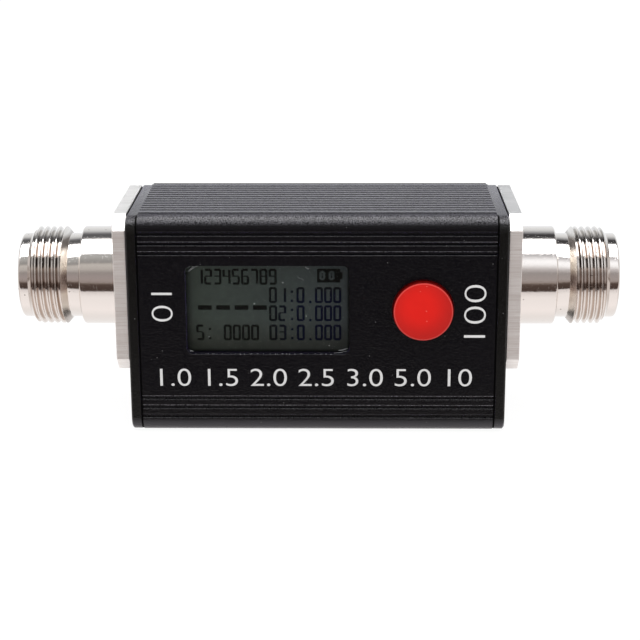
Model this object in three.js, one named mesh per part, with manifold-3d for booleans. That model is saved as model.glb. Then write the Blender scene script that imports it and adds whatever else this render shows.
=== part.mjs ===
// In-line standing wave meter: a ribbed aluminium case with a display, a push
// button and one coaxial socket at each end. Millimetres, +Z up. The front
// panel faces -Y, the sockets point along X and z = 0 is the resting plane.

import * as THREE from 'three';
import { mergeVertices } from 'three/addons/utils/BufferGeometryUtils.js';
import Module from 'manifold-3d';

const wasm = await Module();
wasm.setup();

// General fits
const seat = 0.05;              // between faces that bear on each other
const slipFit = 0.15;           // round a piece that slides or drops into place
const overrun = 1;              // how far a cutter passes a face

// Case tube, drawn round the flanges of the sockets
const caseLength = 56;
const flangeAbove = 0.2;        // from the flange up to the top of the tube
const flangeBelow = 9.8;        // from the flange down to the bottom of the tube
const flangeSide = 0.7;         // from the flange to the front, and to the back
const caseLift = 0.1;           // the end plates stand this much proud below
const caseCorner = 2.4;
const panelWall = 1.4;          // front and back
const rimWall = 1.5;            // top and bottom

// Grooves along the tube
const grooveMouth = 0.62;
const grooveFloor = 0.26;
const grooveDepth = 0.4;
const panelGrooveCount = 3;     // beside each long edge of the front and back
const panelGroovePitch = 1.54;
const panelGrooveInset = 2.8;   // from the top or bottom to the outermost one
const rimGrooveCount = 12;      // across the top and the bottom
const rimGroovePitch = 1.6;
const cornerGrooveMouth = 0.84; // where the flat top turns into the corner
const cornerGrooveInset = 2.35;

// Card slots inside the tube
const slotRibThick = 1;
const slotRibHeight = 1.2;
const boardThick = 1.6;
const boardEndGap = 2.8;        // between a board and the end of the tube
const boardEdgePlay = 0.25;     // between a board's edge and the slot floor
const slotPlay = 0.1;

// End plates
const plateThick = 1.6;
const plateStep = 0.3;          // from the top of the plate up to the top of the tube
const plateCorner = 2.6;
const plateBevel = 0.25;

// Coaxial sockets, measured along their axis from the flange's outer face
const flangeWidth = 25.4;
const flangeThick = 2.1;
const flangeCut = 2.25;         // 45 degree cut at each corner
const flangeHoleInset = 3.57;   // from the flange's edges
const shoulderRadius = 8;
const shoulderLength = 6.45;
const shoulderEdge = 0.5;
const neckRadius = 6.86;
const neckEnd = 8.6;
const threadRadius = 7.9375;
const threadDepth = 0.62;
const threadPitch = 25.4 / 24;
const threadCount = 5;
const outerCrest = 13.67;
const crestFlat = 0.16;
const noseRadius = 6.86;
const noseEnd = 16.4;
const noseEdge = 0.45;
const mouthRadius = 4.3;
const mouthDepth = 9.1;
const mouthLeadIn = 0.35;
const insulatorRadius = 3.5;
const bossRadius = 5.8;
const bossReach = 1.4;          // past the end plate, into the tube
const collarRadius = 4.4;
const collarLength = 3;
const insulatorReach = 1;       // past the boss
const insulatorSink = 0.1;      // below the floor of the mouth
const contactRadius = 1.52;
const contactEdge = 0.19;
const contactBore = 0.82;
const contactBoreDepth = 5;
const contactSetBack = 4.1;     // tip below the rim of the mouth
const contactSlot = 0.3;
const contactSlotDepth = 3.6;
const tailRadius = 1.2;
const tailLength = 4.6;         // past the insulator

// Countersunk screws and nuts
const screwRadius = 1.45;
const screwHoleRadius = 1.6;
const screwHeadRadius = 2.6;
const screwHeadRim = 0.12;
const screwHeadSink = 0.06;
const channelBoreRadius = 1.6;
const channelWall = 0.8;
const channelGap = 1.5;
const channelScrewReach = 6;
const nutAcross = 5.4;
const nutThick = 2.2;
const nutScrewReach = 0.7;      // past the nut

// Display
const windowLeftInset = 7.35;   // from the end of the tube
const windowButtonGap = 11.52;  // from the window to the button's axis
const windowTopInset = 7.875;
const windowBottomInset = 13.075;
const windowCorner = 1.1;
const glassSideLap = 1.9;       // past the window, on each side
const glassEdgeLap = 0.525;     // past the window, above and below
const glassThick = 1.8;
const glassSetBack = 0.8;       // behind the front wall
const filmThick = 0.12;
const filmOverlap = 0.4;        // past the window, on each side
const trayWall = 0.8;
const trayFloor = 0.95;
const trayLip = 0.9;            // how far the glass stands out of the tray
const flexWidth = 14;
const flexThick = 0.2;
const flexClearance = 1.48;     // between its loop and the screw channel below it

// Push button and its switch
const buttonInset = 11.43;      // from the end of the tube
const buttonRise = 0.15;        // above the middle of the window
const buttonProud = 1.3;
const buttonTravel = 0.4;
const capRadius = 4.72;
const capEdge = 0.35;
const capRoof = 1.65;
const capWall = 1;
const capHoleRadius = 4.98;
const capSocketRadius = 3.2;
const capClearance = 0.55;      // left above the switch when the cap is pressed
const stemWidth = 3.8;
const stemBaseRadius = 3.4;
const stemBaseLength = 0.9;
const stemFlangeRadius = 3.9;
const stemFlangeThick = 0.5;
const pusherRadius = 1.5;
const pusherLength = 0.4;
const switchWidth = 12;
const switchFloor = 0.55;
const switchCoverThick = 0.3;
const switchCoverTab = 4;
const switchCoverDrop = 2.2;
const switchPocketRadius = 4.2;
const domeClearance = 0.1;      // left above the dome when the cap is pressed
const domeRadius = 3;
const domeThick = 0.15;
const domeRise = 0.6;

// Charging socket in the bottom of the case
const portWidth = 8.94;
const portThick = 3.26;
const portLength = 7.3;
const portShell = 0.3;
const portSetBack = 0.3;
const portMargin = 0.35;
const portTongueWidth = 6.7;
const portTongueThick = 0.7;
const portTongueLength = 5;

// Radio board, between the two contacts
const lineWidth = 3;
const lineThick = 0.3;
const lineEndGap = 0.4;
const senseWidth = 1.2;
const senseGap = 1.1;
const senseInset = 5;           // from the end of the can to the end of a sense line
const canEndGap = 8.2;          // from the end of the board
const canEdgeGap = 2.5;         // from the diodes, above and below
const canBoardGap = 1.45;       // from the main board
const canWall = 0.3;
const canSlotMargin = 0.6;
const diodeLength = 2.7;
const diodeWidth = 1.6;
const diodeThick = 1.1;
const resistorLength = 3.2;
const resistorWidth = 1.6;
const resistorThick = 0.6;
const partEdgeGap = 0.5;        // between neighbours on the radio board

// Power and control parts
const boardPlace = 0.16;        // share of the free room that lies before the main board
const tapeEndInset = 4;         // from the cell's ends
const tapeEdgeInset = 3.5;      // from the cell's top and bottom
const tapeThick = 1;
const cellEndGap = 5.2;         // from the end of the board
const cellGapAbove = 0.73;      // from the screw channels
const cellGapBelow = 0.33;
const cellThick = 5;
const cellCorner = 1.2;
const guardThick = 1.5;
const guardEdgeInset = 1.5;     // from the cell's top and bottom
const guardSideInset = 0.4;     // from the cell's front and back
const leadRadius = 0.55;
const leadBend = 2;
const leadPitch = 1.4;
const leadRise = 7.75;          // above the lower edge of the boards
const leadClearance = 0.8;      // between the leads and a board's end
const plugLength = 5;
const plugHeight = 5.4;
const plugBoardGap = 1.35;      // from the radio board
const plugInset = 5.7;          // from the end of the board to the plug's middle
const headerLength = 12.7;
const headerHeight = 2.54;
const headerX = -2;
const headerRise = 5.55;        // above the lower edge of the boards
const processorWidth = 7;
const processorThick = 1.1;
const processorSideGap = 0.15;  // from the header
const processorDrop = 0.6;      // below the shield can
const chargerLength = 5;
const chargerWidth = 4;
const chargerThick = 1.5;
const chargerSideGap = 3.5;     // from the processor
const chargerDrop = 1.9;        // below the shield can

// Facets
const fineTurn = 32;            // sides of the sockets
const mediumTurn = 24;
const smallTurn = 12;
const cornerSteps = 4;          // half the steps in a quarter turn
const domeSteps = 4;
const leadSides = 8;
const leadSteps = 18;

// Sizes and places worked out from the sizes above
const caseDepth = flangeWidth + 2 * flangeSide;
const caseHeight = flangeBelow + flangeWidth + flangeAbove;
const plateDepth = caseDepth;
const plateHeight = caseLift + caseHeight - plateStep;
const axisHeight = caseLift + flangeBelow + flangeWidth / 2;
const frontFace = -caseDepth / 2;
const frontInside = frontFace + panelWall;
const backInside = caseDepth / 2 - panelWall;
const floorInside = caseLift + rimWall;
const ceilingInside = caseLift + caseHeight - rimWall;
const caseMiddle = caseLift + caseHeight / 2;
const halfLength = caseLength / 2;
const plateOuter = seat + plateThick;
const flangeOuter = plateOuter + seat + flangeThick;
const holeY = flangeWidth / 2 - flangeHoleInset;
const channelUp = axisHeight + holeY;
const channelDown = 2 * caseMiddle - channelUp;
const channelRadius = channelBoreRadius + channelWall;
const capFace = frontFace - buttonProud;
const stemTip = capFace + capRoof;
const radioFront = tailRadius + seat;
const radioBack = radioFront + boardThick;
const channelBack = channelRadius - holeY;
const mainFront = channelBack + boardPlace * (radioFront - channelBack - boardThick);
const mainBack = mainFront + boardThick;
const boardGap = radioFront - mainBack;
const pocketFloor = mainFront - seat - switchFloor;
const domeTop = pocketFloor - seat - domeThick - domeRise;
const pusherTip = domeTop - buttonTravel - domeClearance;
const pocketTop = pusherTip - pusherLength - stemFlangeThick;
const switchTop = pocketTop - seat - switchCoverThick;
const stemEnd = switchTop - stemBaseLength;
const capBack = switchTop - buttonTravel - capClearance;
const boardLow = floorInside + boardEdgePlay;
const boardHigh = ceilingInside - boardEdgePlay;
const boardEnd = halfLength - boardEndGap;
const buttonX = halfLength - buttonInset;
const windowLeft = windowLeftInset - halfLength;
const windowWidth = buttonX - windowButtonGap - windowLeft;
const windowX = windowLeft + windowWidth / 2;
const windowHeight = caseHeight - windowTopInset - windowBottomInset;
const windowZ = caseLift + windowBottomInset + windowHeight / 2;
const buttonZ = windowZ + buttonRise;
const glassWidth = windowWidth + 2 * glassSideLap;
const glassHeight = windowHeight + 2 * glassEdgeLap;
const glassFront = frontInside + glassSetBack;
const glassBack = glassFront + glassThick;
const lightBack = mainFront - seat - trayFloor - seat;
const trayFront = glassFront + trayLip;
const trayBottom = windowZ - glassHeight / 2 - slipFit - trayWall;
const flexRoom = trayBottom - seat - channelDown - channelRadius;
const flexBulge = (flexRoom - flexClearance - flexThick / 2) / 2;
const portX = buttonX;
const portY = mainBack + seat + portThick / 2;
const sensePlace = lineWidth / 2 + senseGap + senseWidth / 2;
const canLength = 2 * (boardEnd - canEndGap);
const canHeight = 2 * (sensePlace + diodeWidth / 2 + canEdgeGap);
const canDepth = boardGap - canBoardGap;
const canBottom = axisHeight - canHeight / 2;
const senseLength = canLength - 2 * senseInset;
const headerZ = boardLow + headerRise;
const processorX = headerX + headerLength / 2 + processorSideGap + processorWidth / 2;
const processorZ = canBottom - processorDrop - processorWidth / 2;
const chargerX = processorX + processorWidth / 2 + chargerSideGap + chargerLength / 2;
const chargerZ = canBottom - chargerDrop - chargerWidth / 2;
const bossEnd = -(flangeOuter + bossReach);
const insulatorEnd = bossEnd - insulatorReach;
const tailEnd = insulatorEnd - tailLength;
const lineLength = caseLength + 2 * (flangeOuter + tailEnd) - 2 * lineEndGap;
const cellFront = radioBack + seat + tapeThick + seat;
const cellBack = cellFront + cellThick;
const cellEnd = boardEnd - cellEndGap;
const cellLow = channelDown + channelRadius + cellGapBelow;
const cellHigh = channelUp - channelRadius - cellGapAbove;
const cellHeight = cellHigh - cellLow;
const cellZ = (cellLow + cellHigh) / 2;
const leadZ = boardLow + leadRise;
const plugDepth = boardGap - plugBoardGap;
const plugX = plugInset - boardEnd;

// Turns a closed three.js geometry into a solid that can be cut and joined
function solidOf(geometry) {
  const plain = geometry.clone();
  plain.deleteAttribute('normal');
  plain.deleteAttribute('uv');
  const merged = mergeVertices(plain);
  const corners = merged.index.array;
  const kept = [];
  for (let i = 0; i < corners.length; i += 3) {
    const [a, b, c] = corners.slice(i, i + 3);
    if (a !== b && b !== c && c !== a) kept.push(a, b, c);
  }
  return new wasm.Manifold(new wasm.Mesh({
    numProp: 3,
    vertProperties: new Float32Array(merged.attributes.position.array),
    triVerts: new Uint32Array(kept),
  }));
}

function geometryOf(solid) {
  const mesh = solid.getMesh();
  const geometry = new THREE.BufferGeometry();
  geometry.setAttribute('position', new THREE.BufferAttribute(mesh.vertProperties, 3));
  geometry.setIndex(new THREE.BufferAttribute(mesh.triVerts, 1));
  return geometry;
}

function joined(solids) {
  return solids.reduce((sum, solid) => sum.add(solid));
}

// A box given by its lowest and highest x, y and z
function block([x0, x1], [y0, y1], [z0, z1]) {
  const box = new THREE.BoxGeometry(x1 - x0, y1 - y0, z1 - z0);
  box.translate((x0 + x1) / 2, (y0 + y1) / 2, (z0 + z1) / 2);
  return solidOf(box);
}

function around(centre, width) {
  return [centre - width / 2, centre + width / 2];
}

// Lays an outline's x and y along Y and Z, so that what was drawn out runs along X
function laidAlongX(geometry, x0) {
  const y = new THREE.Vector3(0, 1, 0);
  const z = new THREE.Vector3(0, 0, 1);
  const x = new THREE.Vector3(1, 0, 0);
  geometry.applyMatrix4(new THREE.Matrix4().makeBasis(y, z, x));
  return solidOf(geometry.translate(x0, 0, 0));
}

// A y-z outline drawn out along X
function alongX(outline, x0, x1, steps = cornerSteps) {
  const options = { depth: x1 - x0, bevelEnabled: false, curveSegments: steps };
  return laidAlongX(new THREE.ExtrudeGeometry(outline, options), x0);
}

// An x-z outline drawn out along Y
function alongY(outline, y0, y1, steps = cornerSteps) {
  const options = { depth: y1 - y0, bevelEnabled: false, curveSegments: steps };
  const body = new THREE.ExtrudeGeometry(outline, options);
  body.rotateX(Math.PI / 2);
  body.translate(0, y1, 0);
  return solidOf(body);
}

// An x-y outline drawn out along Z
function alongZ(outline, z0, z1, steps = cornerSteps) {
  const options = { depth: z1 - z0, bevelEnabled: false, curveSegments: steps };
  const body = new THREE.ExtrudeGeometry(outline, options);
  body.translate(0, 0, z0);
  return solidOf(body);
}

// A profile of [radius, place along the axis] points turned about Y or X
function turnedY(profile, sides = mediumTurn) {
  const points = profile.map(([radius, place]) => new THREE.Vector2(radius, place));
  return solidOf(new THREE.LatheGeometry(points, sides));
}

function turnedX(profile, sides = mediumTurn) {
  const points = profile.map(([radius, place]) => new THREE.Vector2(radius, place));
  return solidOf(new THREE.LatheGeometry(points, sides).rotateZ(-Math.PI / 2));
}

function rod(radius, x0, x1, sides = mediumTurn) {
  return turnedX([[0, x0], [radius, x0], [radius, x1], [0, x1]], sides);
}

function roundedRectangle(width, height, radius, u = 0, v = 0) {
  const shape = new THREE.Shape();
  const du = width / 2 - radius;
  const dv = height / 2 - radius;
  shape.absarc(u + du, v + dv, radius, 0, Math.PI / 2);
  shape.absarc(u - du, v + dv, radius, Math.PI / 2, Math.PI);
  shape.absarc(u - du, v - dv, radius, Math.PI, Math.PI * 3 / 2);
  shape.absarc(u + du, v - dv, radius, Math.PI * 3 / 2, Math.PI * 2);
  shape.closePath();
  return shape;
}

function disc(radius, u = 0, v = 0) {
  const shape = new THREE.Shape();
  shape.absarc(u, v, radius, 0, Math.PI * 2);
  return shape;
}

function polygon(points) {
  return new THREE.Shape(points.map(([u, v]) => new THREE.Vector2(u, v)));
}

// A strip of even thickness that follows a line of y-z points
function ribbon(points, thickness) {
  const line = points.map(([u, v]) => new THREE.Vector2(u, v));
  const sides = [[], []];
  line.forEach((point, i) => {
    const before = line[Math.max(i - 1, 0)];
    const after = line[Math.min(i + 1, line.length - 1)];
    const along = after.clone().sub(before).normalize();
    const across = new THREE.Vector2(-along.y, along.x).multiplyScalar(thickness / 2);
    sides[0].push(point.clone().sub(across));
    sides[1].unshift(point.clone().add(across));
  });
  return new THREE.Shape([...sides[0], ...sides[1]]);
}

// One groove cutter, its mouth on the line y = face, opening towards -Y
function grooveCutter(face, height, mouth) {
  const slope = (mouth - grooveFloor) / 2 / grooveDepth;
  const outerHalf = mouth / 2 + slope * overrun;
  return polygon([
    [face - overrun, height - outerHalf],
    [face + grooveDepth, height - grooveFloor / 2],
    [face + grooveDepth, height + grooveFloor / 2],
    [face - overrun, height + outerHalf],
  ]);
}

// All grooves of one side, on the -Y side, then turned about the tube's middle
function grooveRow(places, face, turn) {
  const cutters = places.map(([place, mouth]) => {
    const outline = grooveCutter(face, place, mouth);
    return alongX(outline, -halfLength - overrun, halfLength + overrun);
  });
  const degrees = THREE.MathUtils.radToDeg(turn);
  return joined(cutters).rotate([degrees, 0, 0]).translate([0, 0, caseMiddle]);
}

function panelGroovePlaces() {
  const places = [];
  for (let i = 0; i < panelGrooveCount; i++) {
    const place = caseHeight / 2 - panelGrooveInset - i * panelGroovePitch;
    places.push([place, grooveMouth], [-place, grooveMouth]);
  }
  return places;
}

function rimGroovePlaces() {
  const places = [];
  for (let i = 0; i < rimGrooveCount; i++) {
    places.push([(i - (rimGrooveCount - 1) / 2) * rimGroovePitch, grooveMouth]);
  }
  const corner = caseDepth / 2 - cornerGrooveInset;
  places.push([corner, cornerGrooveMouth], [-corner, cornerGrooveMouth]);
  return places;
}

// Two ribs that hold a board's edge at the floor, and two at the ceiling
function cardSlot(boardFront, boardBack) {
  const ribs = [];
  const rows = [
    [boardFront - slotPlay - slotRibThick, boardFront - slotPlay],
    [boardBack + slotPlay, boardBack + slotPlay + slotRibThick],
  ];
  for (const row of rows) {
    const span = [-halfLength, halfLength];
    ribs.push(block(span, row, [floorInside - rimWall / 2, floorInside + slotRibHeight]));
    ribs.push(block(span, row, [ceilingInside - slotRibHeight, ceilingInside + rimWall / 2]));
  }
  return joined(ribs);
}

// A corner of the tube thickened round a screw channel, open on its inner side
function channelCorner(sideY, sideZ) {
  const y = sideY * holeY;
  const z = sideZ > 0 ? channelUp : channelDown;
  const wallY = sideY * (caseDepth / 2 - panelWall / 2);
  const wallZ = caseMiddle + sideZ * (caseHeight / 2 - rimWall / 2);
  const span = [-halfLength, halfLength];
  const sleeve = alongX(disc(channelRadius, y, z), ...span, smallTurn / 2);
  const ys = [Math.min(y, wallY), Math.max(y, wallY)];
  const zs = [Math.min(z, wallZ), Math.max(z, wallZ)];
  return sleeve.add(block(span, ys, zs));
}

function channelBore(sideY, sideZ) {
  const y = sideY * holeY;
  const z = sideZ > 0 ? channelUp : channelDown;
  const span = [-halfLength - overrun, halfLength + overrun];
  const bore = alongX(disc(channelBoreRadius, y, z), ...span, smallTurn / 2);
  const reach = channelRadius + slipFit;
  const ys = [Math.min(y, y - sideY * reach), Math.max(y, y - sideY * reach)];
  return bore.add(block(span, ys, around(z, channelGap)));
}

function caseTube() {
  const outline = roundedRectangle(caseDepth, caseHeight, caseCorner, 0, caseMiddle);
  const inner = [
    [-halfLength - overrun, halfLength + overrun],
    [frontInside, backInside],
    [floorInside, ceilingInside],
  ];
  const corners = [[-1, -1], [-1, 1], [1, -1], [1, 1]];
  let tube = alongX(outline, -halfLength, halfLength).subtract(block(...inner));
  tube = tube.add(cardSlot(mainFront, mainBack)).add(cardSlot(radioFront, radioBack));
  tube = tube.add(joined(corners.map(([y, z]) => channelCorner(y, z))));
  tube = tube.subtract(joined(corners.map(([y, z]) => channelBore(y, z))));

  const panel = -caseDepth / 2;
  const rim = -caseHeight / 2;
  tube = tube.subtract(grooveRow(panelGroovePlaces(), panel, 0));
  tube = tube.subtract(grooveRow(panelGroovePlaces(), panel, Math.PI));
  tube = tube.subtract(grooveRow(rimGroovePlaces(), rim, -Math.PI / 2));
  tube = tube.subtract(grooveRow(rimGroovePlaces(), rim, Math.PI / 2));

  const opening = roundedRectangle(windowWidth, windowHeight, windowCorner, windowX, windowZ);
  const wall = [frontFace - overrun, frontInside + panelWall / 2];
  tube = tube.subtract(alongY(opening, ...wall));
  tube = tube.subtract(alongY(disc(capHoleRadius, buttonX, buttonZ), ...wall, mediumTurn / 2));

  return tube.subtract(alongZ(portOutline(portMargin), -overrun, floorInside + slotRibHeight + seat));
}

// The charging socket's outline with its round ends, grown by a margin all round
function portOutline(margin) {
  const width = portWidth + 2 * margin;
  const thick = portThick + 2 * margin;
  return roundedRectangle(width, thick, thick / 2 - seat, portX, portY);
}

// Everything below is drawn for an end that faces +X. The end plate is placed
// from the tube's end, and the socket from its flange's outer face.

function countersink(face, holeRadius) {
  const rise = screwHeadRadius - screwRadius;
  const wide = screwHeadRadius + slipFit;
  const tip = face - screwHeadSink - screwHeadRim - rise - slipFit;
  const root = tip - plateThick - flangeThick;
  return [[0, root], [holeRadius, root], [holeRadius, tip + holeRadius - screwRadius],
    [wide, face - screwHeadSink - screwHeadRim], [wide, face + overrun], [0, face + overrun]];
}

function endPlate() {
  const bevel = plateBevel;
  const outline = roundedRectangle(plateDepth, plateHeight, plateCorner, 0, plateHeight / 2);
  const options = {
    depth: plateThick, bevelThickness: bevel, bevelSize: bevel, bevelOffset: -bevel,
    bevelSegments: 1, curveSegments: cornerSteps,
  };
  const body = new THREE.ExtrudeGeometry(outline, options);
  let plate = laidAlongX(body, plateOuter - plateThick - bevel);
  const wide = around(0, 2 * plateDepth);
  const high = [-overrun, plateHeight + overrun];
  plate = plate.subtract(block([-overrun - bevel, seat], wide, high));

  const through = [-overrun, plateOuter + overrun];
  plate = plate.subtract(rod(bossRadius + slipFit, ...through).translate([0, 0, axisHeight]));
  for (const side of [-1, 1]) {
    const hole = rod(screwHoleRadius, ...through, smallTurn);
    plate = plate.subtract(hole.translate([0, side * holeY, channelUp]));
    plate = plate.subtract(hole.translate([0, side * holeY, axisHeight - holeY]));
    const sunk = turnedX(countersink(plateOuter, screwHoleRadius), smallTurn);
    plate = plate.subtract(sunk.translate([0, side * holeY, channelDown]));
  }
  return plate;
}

function threadProfile() {
  const root = threadRadius - threadDepth;
  const half = threadPitch / 2;
  const points = [];
  for (let i = threadCount - 1; i >= 0; i--) {
    const crest = outerCrest - i * threadPitch;
    points.push([threadRadius, crest - crestFlat], [threadRadius, crest + crestFlat]);
    points.push([root, crest + half]);
  }
  return points;
}

function socketBody() {
  const half = flangeWidth / 2;
  const cut = half - flangeCut;
  const square = polygon([[cut, -half], [half, -cut], [half, cut], [cut, half],
    [-cut, half], [-half, cut], [-half, -cut], [-cut, -half]]);
  const profile = [
    [0, bossEnd], [bossRadius, bossEnd], [bossRadius, -flangeThick / 2],
    [shoulderRadius, -flangeThick / 2],
    [shoulderRadius, shoulderLength - shoulderEdge],
    [shoulderRadius - shoulderEdge, shoulderLength],
    [neckRadius, shoulderLength], [neckRadius, neckEnd],
    ...threadProfile(),
    [noseRadius, outerCrest + threadPitch],
    [noseRadius, noseEnd - noseEdge], [noseRadius - noseEdge, noseEnd], [0, noseEnd],
  ];
  let body = turnedX(profile, fineTurn).add(alongX(square, -flangeThick, 0));

  const floor = noseEnd - mouthDepth;
  const step = bossEnd + collarLength;
  const bore = [
    [0, bossEnd - overrun], [collarRadius, bossEnd - overrun], [collarRadius, step],
    [insulatorRadius, step], [insulatorRadius, floor], [mouthRadius, floor],
    [mouthRadius, noseEnd - mouthLeadIn], [mouthRadius + mouthLeadIn, noseEnd],
    [mouthRadius + mouthLeadIn, noseEnd + overrun], [0, noseEnd + overrun],
  ];
  body = body.subtract(turnedX(bore, fineTurn));
  const sunk = turnedX(countersink(0, screwHoleRadius), smallTurn);
  for (const y of [-holeY, holeY]) {
    for (const z of [-holeY, holeY]) body = body.subtract(sunk.translate([0, y, z]));
  }
  return body;
}

function socketInsulator() {
  const collar = collarRadius - seat;
  const outer = insulatorRadius - seat;
  const inner = contactRadius + seat;
  const step = bossEnd + collarLength - seat;
  const floor = noseEnd - mouthDepth - insulatorSink;
  const profile = [[inner, insulatorEnd], [collar, insulatorEnd], [collar, step],
    [outer, step], [outer, floor], [inner, floor], [inner, insulatorEnd]];
  return turnedX(profile, fineTurn);
}

function centreContact() {
  const tip = noseEnd - contactSetBack;
  const profile = [
    [0, tailEnd], [tailRadius, tailEnd], [tailRadius, insulatorEnd],
    [contactRadius, insulatorEnd], [contactRadius, tip - contactEdge],
    [contactRadius - contactEdge, tip],
    [contactBore, tip], [contactBore, tip - contactBoreDepth], [0, tip - contactBoreDepth],
  ];
  const span = [tip - contactSlotDepth, tip + overrun];
  const wide = around(0, 2 * contactRadius + overrun);
  const narrow = around(0, contactSlot);
  const contact = turnedX(profile, mediumTurn);
  return contact.subtract(block(span, wide, narrow)).subtract(block(span, narrow, wide));
}

// A countersunk screw whose head lies just below the face at x = face
function screw(face, end) {
  const top = face - screwHeadSink;
  const cone = screwHeadRadius - screwRadius;
  return turnedX([[0, end], [screwRadius, end], [screwRadius, top - screwHeadRim - cone],
    [screwHeadRadius, top - screwHeadRim], [screwHeadRadius, top], [0, top]], smallTurn);
}

function flangeNut() {
  const corner = nutAcross / Math.sqrt(3);
  const points = [0, 1, 2, 3, 4, 5].map((i) => {
    const angle = Math.PI / 6 + i * Math.PI / 3;
    return [corner * Math.cos(angle), corner * Math.sin(angle)];
  });
  return alongX(polygon(points), -nutThick, 0)
    .subtract(rod(screwHoleRadius, -nutThick - overrun, overrun, smallTurn));
}

// The display stack, from the window back to the main board

function screenFilm() {
  const wide = windowWidth + 2 * filmOverlap;
  const high = windowHeight + 2 * filmOverlap;
  const outline = roundedRectangle(wide, high, windowCorner, windowX, windowZ);
  return alongY(outline, glassFront - seat - filmThick, glassFront - seat);
}

function displayGlass() {
  return block(around(windowX, glassWidth), [glassFront, glassBack], around(windowZ, glassHeight));
}

function displayLight() {
  const wide = around(windowX, glassWidth);
  return block(wide, [glassBack + seat, lightBack], around(windowZ, glassHeight));
}

function displayTray() {
  const gap = slipFit + trayWall;
  const wide = around(windowX, glassWidth + 2 * gap);
  const high = around(windowZ, glassHeight + 2 * gap);
  const tray = block(wide, [trayFront, mainFront - seat], high);
  const insideWide = around(windowX, glassWidth + 2 * slipFit);
  const insideHigh = around(windowZ, glassHeight + 2 * slipFit);
  const hollow = block(insideWide, [trayFront - overrun, lightBack + seat], insideHigh);
  const notchWide = around(windowX, flexWidth + 2 * trayWall);
  const notchHigh = [high[0] - overrun, windowZ - glassHeight / 2];
  const notch = block(notchWide, [trayFront - overrun, lightBack], notchHigh);
  return tray.subtract(hollow).subtract(notch);
}

// The flexible strip that leaves the glass, loops down and lands on the board
function displayFlex() {
  const start = windowZ - glassHeight / 2 - seat;
  const y0 = glassBack - flexThick;
  const y1 = mainFront - seat - flexThick / 2;
  const low = trayBottom - seat - flexBulge;
  const middle = (y0 + y1) / 2;
  const radius = (y1 - y0) / 2;
  const points = [[y0, start], [y0, low]];
  for (let i = 1; i < 2 * cornerSteps; i++) {
    const angle = Math.PI * (1 + i / (2 * cornerSteps));
    points.push([middle + radius * Math.cos(angle), low + flexBulge * Math.sin(angle)]);
  }
  points.push([y1, low], [y1, low + flexBulge / 2]);
  return alongX(ribbon(points, flexThick), ...around(windowX, flexWidth));
}

// The button, turned about its own axis, with y in the frame of the whole part

function buttonCap() {
  const inner = capRadius - capWall;
  const roof = capFace + capRoof - seat;
  const shell = turnedY([
    [0, capFace], [capRadius - capEdge, capFace], [capRadius, capFace + capEdge],
    [capRadius, capBack], [inner, capBack], [inner, roof], [0, roof],
  ]);
  const sleeveEnd = stemEnd - slipFit;
  const sleeve = rodY(capSocketRadius, roof - seat, sleeveEnd);
  const socket = stemWidth / 2 + seat;
  const hole = block([-socket, socket], [stemTip - seat, capBack], [-socket, socket]);
  return shell.add(sleeve).subtract(hole).translate([buttonX, 0, buttonZ]);
}

function switchStem() {
  const half = stemWidth / 2;
  const flangeEnd = pocketTop + stemFlangeThick;
  const base = turnedY([
    [0, stemEnd], [stemBaseRadius, stemEnd], [stemBaseRadius, pocketTop],
    [stemFlangeRadius, pocketTop], [stemFlangeRadius, flangeEnd], [pusherRadius, flangeEnd],
    [pusherRadius, pusherTip], [0, pusherTip],
  ]);
  const stem = block([-half, half], [stemTip, stemEnd + seat], [-half, half]);
  return base.add(stem).translate([buttonX, 0, buttonZ]);
}

// A round rod along Y, on the button's axis
function rodY(radius, y0, y1) {
  return turnedY([[0, y0], [radius, y0], [radius, y1], [0, y1]]);
}

function switchBody() {
  const half = switchWidth / 2;
  const housing = block([-half, half], [pocketTop, mainFront - seat], [-half, half]);
  const pocket = rodY(switchPocketRadius, pocketTop - overrun, pocketFloor);
  return housing.subtract(pocket).translate([buttonX, 0, buttonZ]);
}

function switchCover() {
  const half = switchWidth / 2;
  const tab = switchCoverTab / 2;
  const out = half + seat + switchCoverThick;
  const plate = block([-half, half], [switchTop, switchTop + switchCoverThick], [-out, out]);
  const drop = [switchTop, switchTop + switchCoverDrop];
  const tabs = [
    block([-tab, tab], drop, [-out, -half - seat]),
    block([-tab, tab], drop, [half + seat, out]),
  ];
  const hole = rodY(stemBaseRadius + slipFit, switchTop - overrun, switchTop + overrun);
  return plate.add(joined(tabs)).subtract(hole).translate([buttonX, 0, buttonZ]);
}

// The snap disc below the stem, a shallow dome of even thickness
function switchDome() {
  const over = [];
  for (let i = 0; i <= domeSteps; i++) {
    const share = i / domeSteps;
    over.push([domeRadius * share, domeTop + domeRise * share * share]);
  }
  const under = over.map(([radius, place]) => [radius, place + domeThick]).reverse();
  return turnedY([...over, ...under], smallTurn).translate([buttonX, 0, buttonZ]);
}

// Boards and what stands on them

function board(front) {
  return block([-boardEnd, boardEnd], [front, front + boardThick], [boardLow, boardHigh]);
}

function chargingShell() {
  const low = caseLift + portSetBack;
  const shell = alongZ(portOutline(0), low, low + portLength);
  return shell.subtract(alongZ(portOutline(-portShell), low - overrun, low + portLength - portShell));
}

function chargingTongue() {
  const top = caseLift + portSetBack + portLength - portShell - seat;
  const thin = around(portY, portTongueThick);
  return block(around(portX, portTongueWidth), thin, [top - portTongueLength, top]);
}

function throughLine() {
  return block(around(0, lineLength), [radioFront - seat - lineThick, radioFront - seat],
    around(axisHeight, lineWidth));
}

// The two sense lines run beside the through line, one above and one below it
function senseLine(side) {
  const thin = [radioFront - seat - lineThick, radioFront - seat];
  const place = axisHeight + side * sensePlace;
  return block(around(0, senseLength), thin, around(place, senseWidth));
}

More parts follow.
